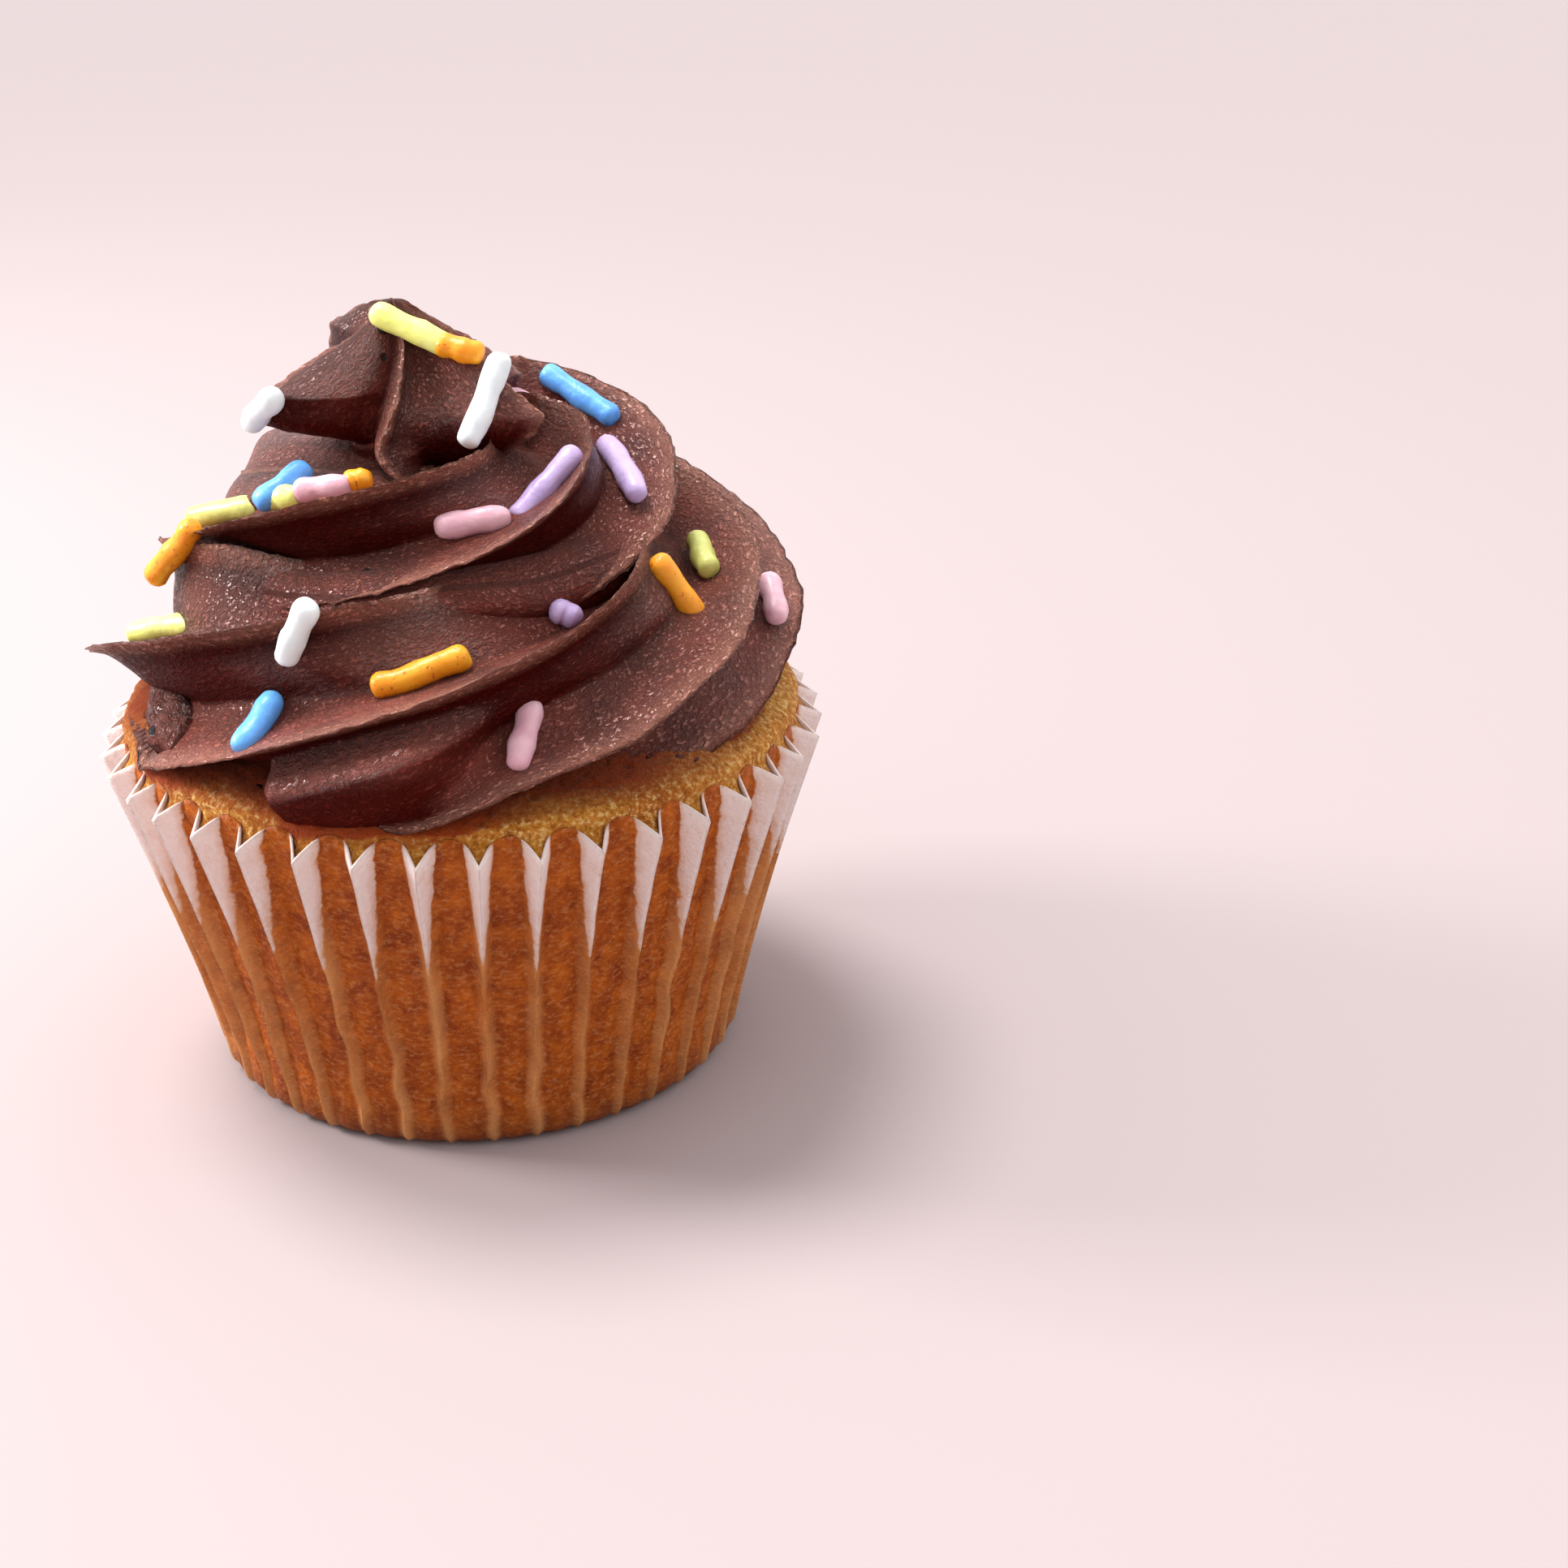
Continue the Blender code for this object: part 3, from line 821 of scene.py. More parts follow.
    def repeat_tree(self, material: bpy.types.Material) -> bpy.types.NodeTree:
        """Node tree that sets one pleat side by side all the way round.

        Args:
            material: The paper's material.

        Returns:
            The geometry node group.
        """
        tree = bpy.data.node_groups.new("pleats_all_round", "GeometryNodeTree")
        face = tree.interface
        face.new_socket("Geometry", in_out="INPUT", socket_type="NodeSocketGeometry")
        face.new_socket("Pleats", in_out="INPUT", socket_type="NodeSocketInt")
        face.new_socket("Join Distance", in_out="INPUT", socket_type="NodeSocketFloat")
        face.new_socket("Geometry", in_out="OUTPUT", socket_type="NodeSocketGeometry")
        new, link = tree.nodes.new, tree.links.new
        source = new("NodeGroupInput")
        points = new("GeometryNodePoints")
        index = new("GeometryNodeInputIndex")
        part = new("ShaderNodeMath")
        part.operation = "DIVIDE"
        angle = new("ShaderNodeMath")
        angle.operation = "MULTIPLY"
        angle.inputs[1].default_value = 2.0 * math.pi
        turn = new("ShaderNodeCombineXYZ")
        copies = new("GeometryNodeInstanceOnPoints")
        real = new("GeometryNodeRealizeInstances")
        merge = new("GeometryNodeMergeByDistance")
        smooth = new("GeometryNodeSetShadeSmooth")
        dress = new("GeometryNodeSetMaterial")
        dress.inputs["Material"].default_value = material
        sink = new("NodeGroupOutput")
        link(source.outputs["Pleats"], points.inputs["Count"])
        link(index.outputs[0], part.inputs[0])
        link(source.outputs["Pleats"], part.inputs[1])
        link(part.outputs[0], angle.inputs[0])
        link(angle.outputs[0], turn.inputs["Z"])
        link(points.outputs[0], copies.inputs["Points"])
        link(source.outputs["Geometry"], copies.inputs["Instance"])
        link(turn.outputs[0], copies.inputs["Rotation"])
        link(copies.outputs[0], real.inputs[0])
        link(real.outputs[0], merge.inputs["Geometry"])
        link(source.outputs["Join Distance"], merge.inputs["Distance"])
        link(merge.outputs[0], smooth.inputs["Geometry"])
        link(smooth.outputs[0], dress.inputs["Geometry"])
        link(dress.outputs[0], sink.inputs[0])
        return tree

    def crumple(self, points: np.ndarray) -> np.ndarray:
        """Move the even pleats as handling and baking do.

        Args:
            points: Paper points, shape (count, 3).

        Returns:
            The moved points.
        """
        radius = np.hypot(points[:, 0], points[:, 1])
        bearing = np.arctan2(points[:, 1], points[:, 0])
        free = smooth_step(points[:, 2], 0.5 * MM, self.foot_height)
        ring = np.stack([np.cos(bearing) * 30.0 * MM, np.sin(bearing) * 30.0 * MM, points[:, 2]], 1)
        tall = ring * np.array([1.0, 1.0, 0.35])
        low = 1.0 - 0.85 * smooth_step(points[:, 2], *self.calm_heights)
        slow = field_noise(tall, self.wave_sizes[0], 31.0) * self.wave_depths[0]
        quick = field_noise(ring, self.wave_sizes[1], 32.0) * self.wave_depths[1]
        sway = slow + quick * low
        bulge = field_noise(tall, self.dent_size, 33.0)
        bearing = bearing + free * sway * MM / 30.0e-3
        radius = radius + free * (bulge * 0.20 - 0.07) * MM * (radius > 10.0 * MM)
        return np.stack([radius * np.cos(bearing), radius * np.sin(bearing), points[:, 2]], 1)

    def build(self) -> bpy.types.Object:
        """Repeat the pleat, crumple it and give it a wall.

        Returns:
            The dressed case.
        """
        sizes = {"Pleats": self.pleats, "Join Distance": self.join_distance}
        pleat = self.pleat()
        mesh = grow(pleat, self.repeat_tree(self.finish.material()), sizes)
        case = bpy.data.objects.new("pleated_case", mesh)
        bpy.context.scene.collection.objects.link(case)
        self.mark(case)
        move_to(case, self.crumple(positions(case)))
        self.close_base(case)
        skin = case.modifiers.new("wall", "SOLIDIFY")
        skin.thickness = self.wall
        skin.offset = -1.0
        graph = bpy.context.evaluated_depsgraph_get()
        solid = bpy.data.meshes.new_from_object(case.evaluated_get(graph))
        case.modifiers.clear()
        case.data = solid
        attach(case, BODY)
        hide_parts("paper_case")
        return case

    def mark(self, case: bpy.types.Object) -> None:
        """Keep on the sheet where it touches the cake, where its folds get a painted highlight, and its
        foot.

        Args:
            case: The even sheet, with the attribute near.
        """
        points = positions(case)
        near = np.empty(len(points), dtype=np.float32)
        case.data.attributes["near"].data.foreach_get("value", near)
        bearing = np.arctan2(points[:, 1], points[:, 0])
        number = np.floor(bearing / (2.0 * math.pi) * self.pleats + 0.5)
        place = np.stack([number * 1.7, number * 0.3, number * 0.0], 1)
        vary = field_noise(place, 1.0, 41.0)
        part = points[:, 2] / self.fold_height
        opened = 0.50 * np.clip((part - 0.62 - 0.09 * vary) / 0.38, 0.0, 1.2) ** 0.9
        touch = np.where(opened > 0.0, np.clip(0.5 + (near - opened) * 3.4, 0.0, 1.0), 1.0)
        touch = np.where(points[:, 2] < self.foot_height, 1.0, touch)
        store(case, "touch", touch)
        # Painted highlight along the outer folds.
        store(case, "fold_highlight", (1.0 - smooth_step(near, 0.0, 0.46)) * (points[:, 2] > 0.5 * MM))
        store(case, "foot", 1.0 - smooth_step(part, 0.0, 0.17))

    def close_base(self, case: bpy.types.Object) -> None:
        """Fill the small hole in the middle of the base and face the sheet outward.

        Args:
            case: The crumpled sheet.
        """
        work = bmesh.new()
        work.from_mesh(case.data)
        rim = [e for e in work.edges if e.is_boundary and e.verts[0].co.z < 0.001]
        bmesh.ops.holes_fill(work, edges=rim, sides=0)
        bmesh.ops.recalc_face_normals(work, faces=work.faces)
        low = min(work.faces, key=lambda face: face.calc_center_median().z)
        if low.normal.z > 0.0:
            bmesh.ops.reverse_faces(work, faces=work.faces)
        work.to_mesh(case.data)
        work.free()


@dataclass
class Sponge:
    """The baked cake, with its domed top and crumb, risen into the folds of its case.

    Dome and wall are radius and height in millimetres along its outline.
    """

    case: PaperCase
    dome: tuple[tuple[float, float], ...] = (
        (31.15, 34.1), (30.3, 35.0), (28.5, 35.8), (25.0, 36.7), (20.0, 37.5), (12.0, 38.2),
        (5.0, 38.45), (0.0, 38.5),
    )
    wall: tuple[tuple[float, float], ...] = (
        (21.5, 0.75), (23.4, 2.6), (24.8, 8.0), (26.9, 16.0), (28.7, 25.0), (30.7, 31.9), (31.1, 33.2),
    )
    columns: int = 560
    gap: float = 0.14 * MM
    fold_fill: float = 1.5 * MM
    crumb_heights: tuple[float, float] = (33.3 * MM, 34.3 * MM)
    overhang_shade_reach: float = 3.2 * MM
    overhang_shade_roof: float = 9.0 * MM
    finish: SpongeFinish = field(default_factory=SpongeFinish)

    def top(self, radius: float | np.ndarray) -> float | np.ndarray:
        """Height of the domed top at a distance from the middle.

        Args:
            radius: Distance from the middle in metres.

        Returns:
            Height in metres.
        """
        reach = [row[0] * MM for row in reversed(self.dome)]
        rise = [row[1] * MM for row in reversed(self.dome)]
        return np.interp(radius, reach, rise)

    def profile(self) -> np.ndarray:
        """Fine outline from the foot, over the lip, to the middle of the top.

        Returns:
            Radius and height of each point in metres, shape (count, 2).
        """
        rows = np.array(list(self.wall) + list(self.dome)) * MM
        steps = np.concatenate([[0.0], np.cumsum(np.linalg.norm(np.diff(rows, axis=0), axis=1))])
        lip = steps[len(self.wall) - 2]
        rim = steps[-1] - 15.0 * MM
        walk = np.concatenate([
            np.linspace(0.0, lip, 24, endpoint=False),
            np.linspace(lip, rim, 72, endpoint=False),
            np.linspace(rim, steps[-1] - 0.5 * MM, 14),
        ])
        line = np.stack([np.interp(walk, steps, rows[:, 0]), np.interp(walk, steps, rows[:, 1])], 1)
        for _ in range(6):
            line[1:-1] = 0.5 * line[1:-1] + 0.25 * (line[:-2] + line[2:])
        return line

    def rise_into_folds(self, rings: np.ndarray) -> np.ndarray:
        """Let the upper wall fill the folds of the case.

        Args:
            rings: Rings of the turned outline, shape (rings, columns, 3).

        Returns:
            The moved rings.
        """
        height = rings[..., 2]
        bearing = np.arctan2(rings[..., 1], rings[..., 0])
        reach = np.hypot(rings[..., 0], rings[..., 1])
        turn = bearing / (2.0 * math.pi) * self.case.pleats
        near = 2.0 * np.abs(turn - np.round(turn))
        skin = self.case.wall + self.gap - (self.gap + 0.25 * self.case.wall) * smooth_step(
            height, 31.5 * MM, 32.6 * MM
        )
        panel = self.case.radius(np.ones_like(near), height) - skin
        fold = np.minimum(self.case.radius(near, height) - skin, panel + self.fold_fill)
        under = height < self.case.panel_height
        reach = np.where(under, np.minimum(reach, panel), reach)
        fill = smooth_step(height, 22.0 * MM, 28.0 * MM) * (1.0 - smooth_step(height, 31.4 * MM, 33.6 * MM))
        reach = reach + fill * np.maximum(fold - reach, 0.0)
        flat = np.stack([reach * np.cos(bearing), reach * np.sin(bearing), height], axis=-1)
        return self.case.crumple(flat.reshape(-1, 3)).reshape(rings.shape)

    def build(self) -> bpy.types.Object:
        """Turn the outline, then roughen it with crumb and pores.

        Returns:
            The dressed cake.
        """
        line = self.profile()
        bearing = np.linspace(0.0, 2.0 * math.pi, self.columns, endpoint=False)
        rings = np.empty((len(line), self.columns, 3))
        rings[..., 0] = line[:, 0, None] * np.cos(bearing)
        rings[..., 1] = line[:, 0, None] * np.sin(bearing)
        rings[..., 2] = line[:, 1, None]
        rings = self.rise_into_folds(rings)
        points = rings.reshape(-1, 3)
        crumb = field_noise(points, 1.1 * MM, 1.0) * 0.5 + field_noise(points, 0.55 * MM, 2.0) * 0.3
        swell = field_noise(points, 6.0 * MM, 3.0)
        pores = smooth_step(-field_noise(points, 0.9 * MM, 4.0), 0.34, 0.52)
        shown = smooth_step(points[:, 2], *self.crumb_heights)
        lift = (0.20 * crumb + 0.22 * swell - 0.14 * pores) * MM * shown
        slope = np.gradient(line, axis=0)
        normal = np.stack([slope[:, 1], -slope[:, 0]], 1)
        normal /= np.linalg.norm(normal, axis=1)[:, None]
        out = np.repeat(normal, self.columns, axis=0)
        side = np.arctan2(points[:, 1], points[:, 0])
        points[:, 0] += out[:, 0] * lift * np.cos(side)
        points[:, 1] += out[:, 0] * lift * np.sin(side)
        points[:, 2] += out[:, 1] * lift
        verts, faces = closed_tube(points.reshape(rings.shape))
        cake = new_object("sponge_cake", verts, faces)
        face_outward(cake)
        store(cake, "pore_shade", np.concatenate([pores, [0.0, 0.0]]))
        # Painted shade under the icing, filled in once the icing is made.
        store(cake, "overhang_shade", np.zeros(len(verts)))
        cake.data.materials.append(self.finish.material())
        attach(cake, BODY)
        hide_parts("cake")
        return cake

    def paint_overhang_shade(self, cake: bpy.types.Object, icing: bpy.types.Object) -> None:
        """Paint shade, as a deeper red, on the crumb that the icing overhangs or comes close to.

        Args:
            cake: The finished cake.
            icing: The finished icing.
        """
        tree = BVHTree.FromObject(icing, bpy.context.evaluated_depsgraph_get())
        overhang_shade = np.zeros(len(cake.data.vertices))
        for i, vert in enumerate(cake.data.vertices):
            if vert.co.z < 33.0 * MM:
                continue
            out = Vector((vert.co.x, vert.co.y, 0.0)).normalized()
            near = tree.find_nearest(vert.co, self.overhang_shade_reach)[3]
            touch = 0.0 if near is None else 1.0 - near / self.overhang_shade_reach
            skyward = (out * 0.35 + Vector((0.0, 0.0, 1.0))).normalized()
            above = tree.ray_cast(vert.co + out * 0.3 * MM, skyward)[3]
            roof = 0.0 if above is None else 1.0 - min(above / self.overhang_shade_roof, 1.0)
            overhang_shade[i] = min(0.70 * touch**1.2 + 0.80 * roof, 0.96)
        cake.data.attributes["overhang_shade"].data.foreach_set("value", overhang_shade.astype(np.float32))


@dataclass(frozen=True)
class Station:
    """One place along the piped rope, in turns, millimetres and degrees.

    The turns count from the front. Reach and height are those of the rope's middle,
    width is that of its fins, and drag is how far the nozzle has turned the fins.
    """

    turns: float
    reach: float
    height: float
    width: float
    drag: float


@dataclass(frozen=True)
class PeakFin:
    """One fin of the pulled-up end, in millimetres, with its bearings in degrees.

    It reaches out furthest at the height low. Above it the reach shrinks to the tip by
    power. Over the drop below it, it loses the part loss, the more suddenly the larger lip is.
    """

    foot: float
    tip: float
    reach: float
    low: float
    power: float
    drop: float
    loss: float
    lip: float = 2.0


@dataclass
class PipedSwirl:
    """Two turns of star-nozzle piping and the peak it is pulled up into.

    The nozzle keeps its bearing as it goes round, so a place on the rope is given by the
    turns along it and by the fins round it, counted down from the upper outer one. The
    mound fills the middle, in radius and height; the seam is the icing squeezed out
    between the turns, in turns and how far it stands out; the curl is the torn beginning,
    as a path with its thickness. All three are in millimetres.
    """

    sponge: Sponge
    fin_bearing: float = math.radians(-158.5)
    valley: float = 0.56
    groove: float = 0.60
    belly: float = 0.040
    cup: float = 0.055
    lip: float = 0.10
    lip_width: float = 0.040
    peak_valleys: tuple[float, ...] = (0.50, 0.58, 0.55, 0.52, 0.52, 0.55)
    peak_grooves: tuple[float, ...] = (0.84, 0.46, 0.50, 0.50, 0.50, 0.50)
    squash: float = 0.80
    lean: tuple[float, float] = (-2.0 * MM, 5.0 * MM)
    lean_from: float = 40.0 * MM
    lean_over: float = 30.0 * MM
    fin_sizes: tuple[float, ...] = (1.02, 1.0, 1.03, 1.08, 0.98, 1.03)
    late_fin_sizes: tuple[float, ...] = (1.02, 1.0, 1.03, 1.08, 1.06, 0.82)
    bulge: tuple[float, ...] = (0.56, 0.66, 0.92, 1.02)
    stations: tuple[Station, ...] = (
        Station(-0.30, 17.2, 38.8, 12.8, -20.0),
        Station(-0.24, 18.0, 39.2, 14.8, -19.0),
        Station(-0.10, 19.6, 40.5, 13.4, -18.0),
        Station(0.10, 20.1, 42.0, 12.3, -14.5),
        Station(0.35, 18.3, 44.9, 10.9, -9.0),
        Station(0.60, 15.2, 48.3, 10.2, -3.5),
        Station(0.85, 12.5, 51.6, 10.3, 2.5),
        Station(1.10, 11.2, 51.7, 10.8, 11.0),
        Station(1.35, 9.7, 53.2, 11.3, 18.0),
        Station(1.60, 7.6, 54.6, 10.4, 24.0),
        Station(1.80, 4.2, 56.0, 7.2, 28.0),
    )
    peak_axis: tuple[float, float] = (-4.3 * MM, -0.5 * MM)
    peak_height: float = 70.7 * MM
    peak_foot: float = 53.0 * MM
    tip_share: float = 0.06
    curtain_swing: float = 26.0
    peak_fins: tuple[PeakFin, ...] = (
        PeakFin(-160.0, -152.0, 12.3, 63.8, 1.35, 4.4, 0.62, lip=6.0),
        PeakFin(-98.0, -60.0, 9.4, 59.0, 0.90, 6.0, 0.12),
        PeakFin(-25.0, -18.0, 14.6, 62.2, 0.85, 5.0, 0.45),
        PeakFin(30.0, 36.0, 12.0, 62.8, 0.95, 7.0, 0.40),
        PeakFin(92.0, 100.0, 10.5, 62.0, 1.0, 7.0, 0.40),
        PeakFin(152.0, 148.0, 7.4, 67.9, 0.75, 8.0, -0.25),
    )
    curl: tuple[tuple[float, ...], ...] = (
        (-25.3, -6.0, 38.2, 0.8), (-24.9, -9.6, 37.9, 1.6), (-23.9, -13.2, 37.3, 2.1),
        (-22.4, -16.6, 36.8, 2.2), (-20.9, -19.4, 36.4, 1.5),
    )
    seam: tuple[tuple[float, float], ...] = (
        (-0.20, 4.8), (-0.10, 5.3), (-0.05, 6.5), (0.0, 7.2), (0.05, 6.5), (0.10, 5.6), (0.16, 5.8),
        (0.22, 5.0), (0.34, 2.6),
    )
    seam_radius: float = 3.5 * MM
    mound: tuple[tuple[float, float], ...] = (
        (22.0, 36.6), (22.0, 43.5), (19.0, 48.0), (16.5, 51.0), (11.0, 55.0), (6.0, 58.0), (1.0, 60.0),
    )
    rings_per_turn: int = 210
    points_per_fin: int = 28
    peak_rings: int = 110
    sunk: float = 0.10 * MM
    deepest_press: float = 6.0 * MM
    squeezed_out: float = 0.60
    widest: float = 30.3 * MM
    finish: ChocolateFinish = field(default_factory=ChocolateFinish)

    def through(self, turns: np.ndarray, size: str) -> np.ndarray:
        """Smooth curve through one size of the stations.

        Args:
            turns: Turns along the rope.
            size: Name of the stations' field.

        Returns:
            The number at each place along the rope.
        """
        x = np.array([place.turns for place in self.stations])
        y = np.array([getattr(place, size) for place in self.stations])
        slope = np.gradient(y, x)
        i = np.clip(np.searchsorted(x, turns) - 1, 0, len(x) - 2)
        h = x[i + 1] - x[i]
        t = np.clip((turns - x[i]) / h, -0.2, 1.2)
        t2 = t * t
        t3 = t2 * t
        first = (2.0 * t3 - 3.0 * t2 + 1.0) * y[i] + (t3 - 2.0 * t2 + t) * h * slope[i]
        second = (-2.0 * t3 + 3.0 * t2) * y[i + 1] + (t3 - t2) * h * slope[i + 1]
        return first + second

    def centre(self, turns: np.ndarray) -> np.ndarray:
        """Middle of the rope at so many turns along it.

        Args:
            turns: Turns along the rope, 0 at the front.

        Returns:
            Points, with a last axis of 3.
        """
        bearing = -0.5 * math.pi + 2.0 * math.pi * turns
        reach = self.through(turns, "reach") * MM
        height = self.through(turns, "height") * MM
        lean = (height - self.lean_from) / self.lean_over
        x = reach * np.cos(bearing) + self.lean[0] * lean
        y = reach * np.sin(bearing) + self.lean[1] * lean
        return np.stack([x, y, height], axis=-1)

    def star(self, part: np.ndarray) -> np.ndarray:
        """Radius of the rope at so many fins round: a broad face below a crest, then its groove.

        Args:
            part: Fins round the rope.

        Returns:
            The radius, 1 at a crest.
        """
        part = part - np.floor(part + 1e-9)
        pitch = math.pi / 3.0
        low = self.groove * pitch
        at = part * pitch
        below = self.valley * math.sin(low) / (np.sin(at) + self.valley * np.sin(low - at))
        high = pitch - low
        back = pitch - at
        above = self.valley * math.sin(high) / (np.sin(back) + self.valley * np.sin(high - back))
        face = np.where(at < low, below, above)
        share = np.where(at < low, at / low, back / high)
        swell = np.where(at < low, self.belly, -self.cup) * np.sin(math.pi * np.clip(share, 0.0, 1.0)) ** 1.5
        lip = np.exp(-np.minimum(part, 1.0 - part) / self.lip_width)
        return (1.0 - self.lip) * np.minimum(face + swell, 1.0) + self.lip * lip

    def peak_star(self, fin: np.ndarray, part: np.ndarray) -> np.ndarray:
        """Radius of the peak's star, 1 at a crest.

        Args:
            fin: Number of the fin before each place.
            part: How far on to the next fin, 0 to 1.

        Returns:
            The radius as a part of the fins' reach.
        """
        valley = np.array(self.peak_valleys)[fin]
        groove = np.array(self.peak_grooves)[fin]
        away = np.where(part < groove, part / groove, (1.0 - part) / (1.0 - groove))
        curve = np.where(fin == 0, 1.0 - away**1.3, (1.0 - away) ** 1.5)
        return valley + (1.0 - valley) * curve

    def lee_shade(self, part: np.ndarray) -> np.ndarray:
        """Painted shade on the skin right below a crest and along the groove.

        Args:
            part: Fins round the rope.

        Returns:
            How much painted shade each place gets, 0 to 1.
        """
        part = part - np.floor(part + 1e-9)
        below = np.exp(-((part / 0.30) ** 2)) * smooth_step(part, 0.02, 0.07)
        return below + 0.6 * np.exp(-(((part - self.groove) / 0.05) ** 2))

    def fin_size(self, turns: np.ndarray, part: np.ndarray) -> np.ndarray:
        """How far the skin stands out between one fin and the next.

        Args:
            turns: Turns along the rope.
            part: Fins round it.

        Returns:
            The size, about 1.
        """
        early, late = np.array(self.fin_sizes), np.array(self.late_fin_sizes)
        low = np.floor(part).astype(int)
        blend = smooth_step(part - low, 0.0, 1.0)
        change = smooth_step(turns, 0.25, 0.62)
        first = early[low % 6] * (1.0 - change) + late[low % 6] * change
        second = early[(low + 1) % 6] * (1.0 - change) + late[(low + 1) % 6] * change
        start = 1.0 - smooth_step(turns, -0.27, -0.15)
        third = np.clip(1.0 - np.abs(part - 2.0), 0.0, 1.0)
        skirt = smooth_step(turns, -0.070, -0.055) * (1.0 - smooth_step(turns, -0.02, 0.04))
        return (first * (1.0 - blend) + second * blend) * (1.0 + (0.22 * skirt - 0.16 * start) * third)

    def rope(self, turns: np.ndarray, part: np.ndarray) -> np.ndarray:
        """Points of the rope's skin.

        Args:
            turns: Turns along the rope.
            part: Fins round it.

        Returns:
            Points, with a last axis of 3.
        """
        centre = self.centre(turns)
        ahead = self.centre(turns + 0.004) - self.centre(turns - 0.004)
        ahead /= np.linalg.norm(ahead, axis=-1)[..., None]
        width = np.maximum(self.through(turns, "width"), 0.3) * MM
        drag = np.radians(self.through(turns, "drag"))
        bearing = self.fin_bearing + part * 2.0 * math.pi / 6.0 + drag
        flat = np.stack([np.cos(bearing), np.sin(bearing), 0.0 * bearing], axis=-1)
        up = np.broadcast_to(np.array([0.0, 0.0, 1.0]), ahead.shape)
        rise = ahead[..., 2]
        axis = np.cross(up, ahead)
        turned = (
            flat * rise[..., None]
            + np.cross(axis, flat)
            + axis * ((axis * flat).sum(-1) / (1.0 + rise + 1e-9))[..., None]
        )
        across = up - ahead * rise[..., None]
        size = np.linalg.norm(across, axis=-1)
        across = across / (size[..., None] + 1e-9)
        squash = 1.0 - (1.0 - self.squash) * size * size
        turned = turned + across * ((turned * across).sum(-1) * (squash - 1.0))[..., None]
        star = self.star(part)
        swollen = smooth_step(part, 4.0, 4.12) * (1.0 - smooth_step(part, 5.55, 5.95))
        swollen = swollen * smooth_step(turns, *self.bulge[:2]) * (1.0 - smooth_step(turns, *self.bulge[2:]))
        round_side = 0.70 + 0.23 * smooth_step(5.0 - part, 0.0, 0.6)
        size = self.fin_size(turns, part)
        pushed = smooth_step(part, 1.1, 1.4) * (1.0 - smooth_step(part, 1.9, 2.15))
        pushed = pushed * smooth_step(turns, -0.070, -0.058) * (1.0 - smooth_step(turns, -0.01, 0.05))
        reach = star * size * (1.0 - swollen) + round_side * swollen
        reach = width * (reach + (1.05 - reach) * pushed)
        return centre + reach[..., None] * turned

    def fin_steps(self) -> np.ndarray:
        """Places round the star, closer together at the crests.

        Returns:
            Fins round, one for each point of a ring.
        """
        even = np.arange(6 * self.points_per_fin) / self.points_per_fin
        off = even - np.round(even)
        return np.round(even) + off * (0.35 + 1.3 * np.abs(off))

    def peak_reach(self, fin: PeakFin, height: float) -> float:
        """How far one fin of the peak reaches at a height.

        Args:
            fin: The fin.
            height: Height in metres.

        Returns:
            The reach in metres.
        """
        low = fin.low * MM
        if height >= low:
            part = min((self.peak_height - height) / (self.peak_height - low), 1.0)
            return fin.reach * MM * (self.tip_share + (1.0 - self.tip_share) * part**fin.power)
        under = min((low - height) / (fin.drop * MM), 1.0)
        return fin.reach * MM * (1.0 - fin.loss * under**fin.lip)

    def peak(self) -> tuple[np.ndarray, np.ndarray]:
        """Level rings of the pulled-up end.

        Returns:
            The rings, shape (rings, points, 3), and how many fins round each point is.
        """
        height = np.linspace(self.peak_foot, self.peak_height, self.peak_rings)
        rise = smooth_step(height, 57.0 * MM, self.peak_height)
        steps = self.fin_steps() % 6.0
        low = np.floor(steps + 1e-9).astype(int) % 6
        part = steps - np.floor(steps + 1e-9)
        blend = smooth_step(part, 0.0, 1.0)
        rings = np.empty((len(height), len(steps), 3))
        for i, level in enumerate(height):
            crests = np.array([self.peak_reach(fin, level) for fin in self.peak_fins])
            foot = np.array([fin.foot for fin in self.peak_fins])
            tip = np.array([fin.tip for fin in self.peak_fins])
            bearings = foot + (tip - foot) * rise[i]
            bearings[1] += self.curtain_swing * (1.0 - smooth_step(level, 55.0 * MM, 60.5 * MM))
            width = (bearings[(low + 1) % 6] - bearings[low]) % 360.0
            bearing = np.radians(bearings[low] + width * part)
            size = crests[low] * (1.0 - blend) + crests[(low + 1) % 6] * blend
            reach = size * self.peak_star(low, part)
            rings[i, :, 0] = self.peak_axis[0] + reach * np.cos(bearing)
            rings[i, :, 1] = self.peak_axis[1] + reach * np.sin(bearing)
            rings[i, :, 2] = level
        return rings, np.broadcast_to(steps, rings.shape[:2])

    def settle(self, points: np.ndarray) -> np.ndarray:
        """Press points that would sink into the cake flat on its top.

        Args:
            points: Skin points, shape (count, 3).

        Returns:
            The moved points.
        """
        radius = np.hypot(points[:, 0], points[:, 1])
        floor = self.sponge.top(radius) - self.sunk
        pressed = np.clip(floor - points[:, 2], 0.0, self.deepest_press)
        wider = np.minimum(radius + self.squeezed_out * pressed, np.maximum(radius, self.widest))
        points[:, :2] *= (wider / np.maximum(radius, 1e-6))[:, None]
        floor = self.sponge.top(wider) - self.sunk
        points[:, 2] = np.maximum(points[:, 2], floor)
        return points

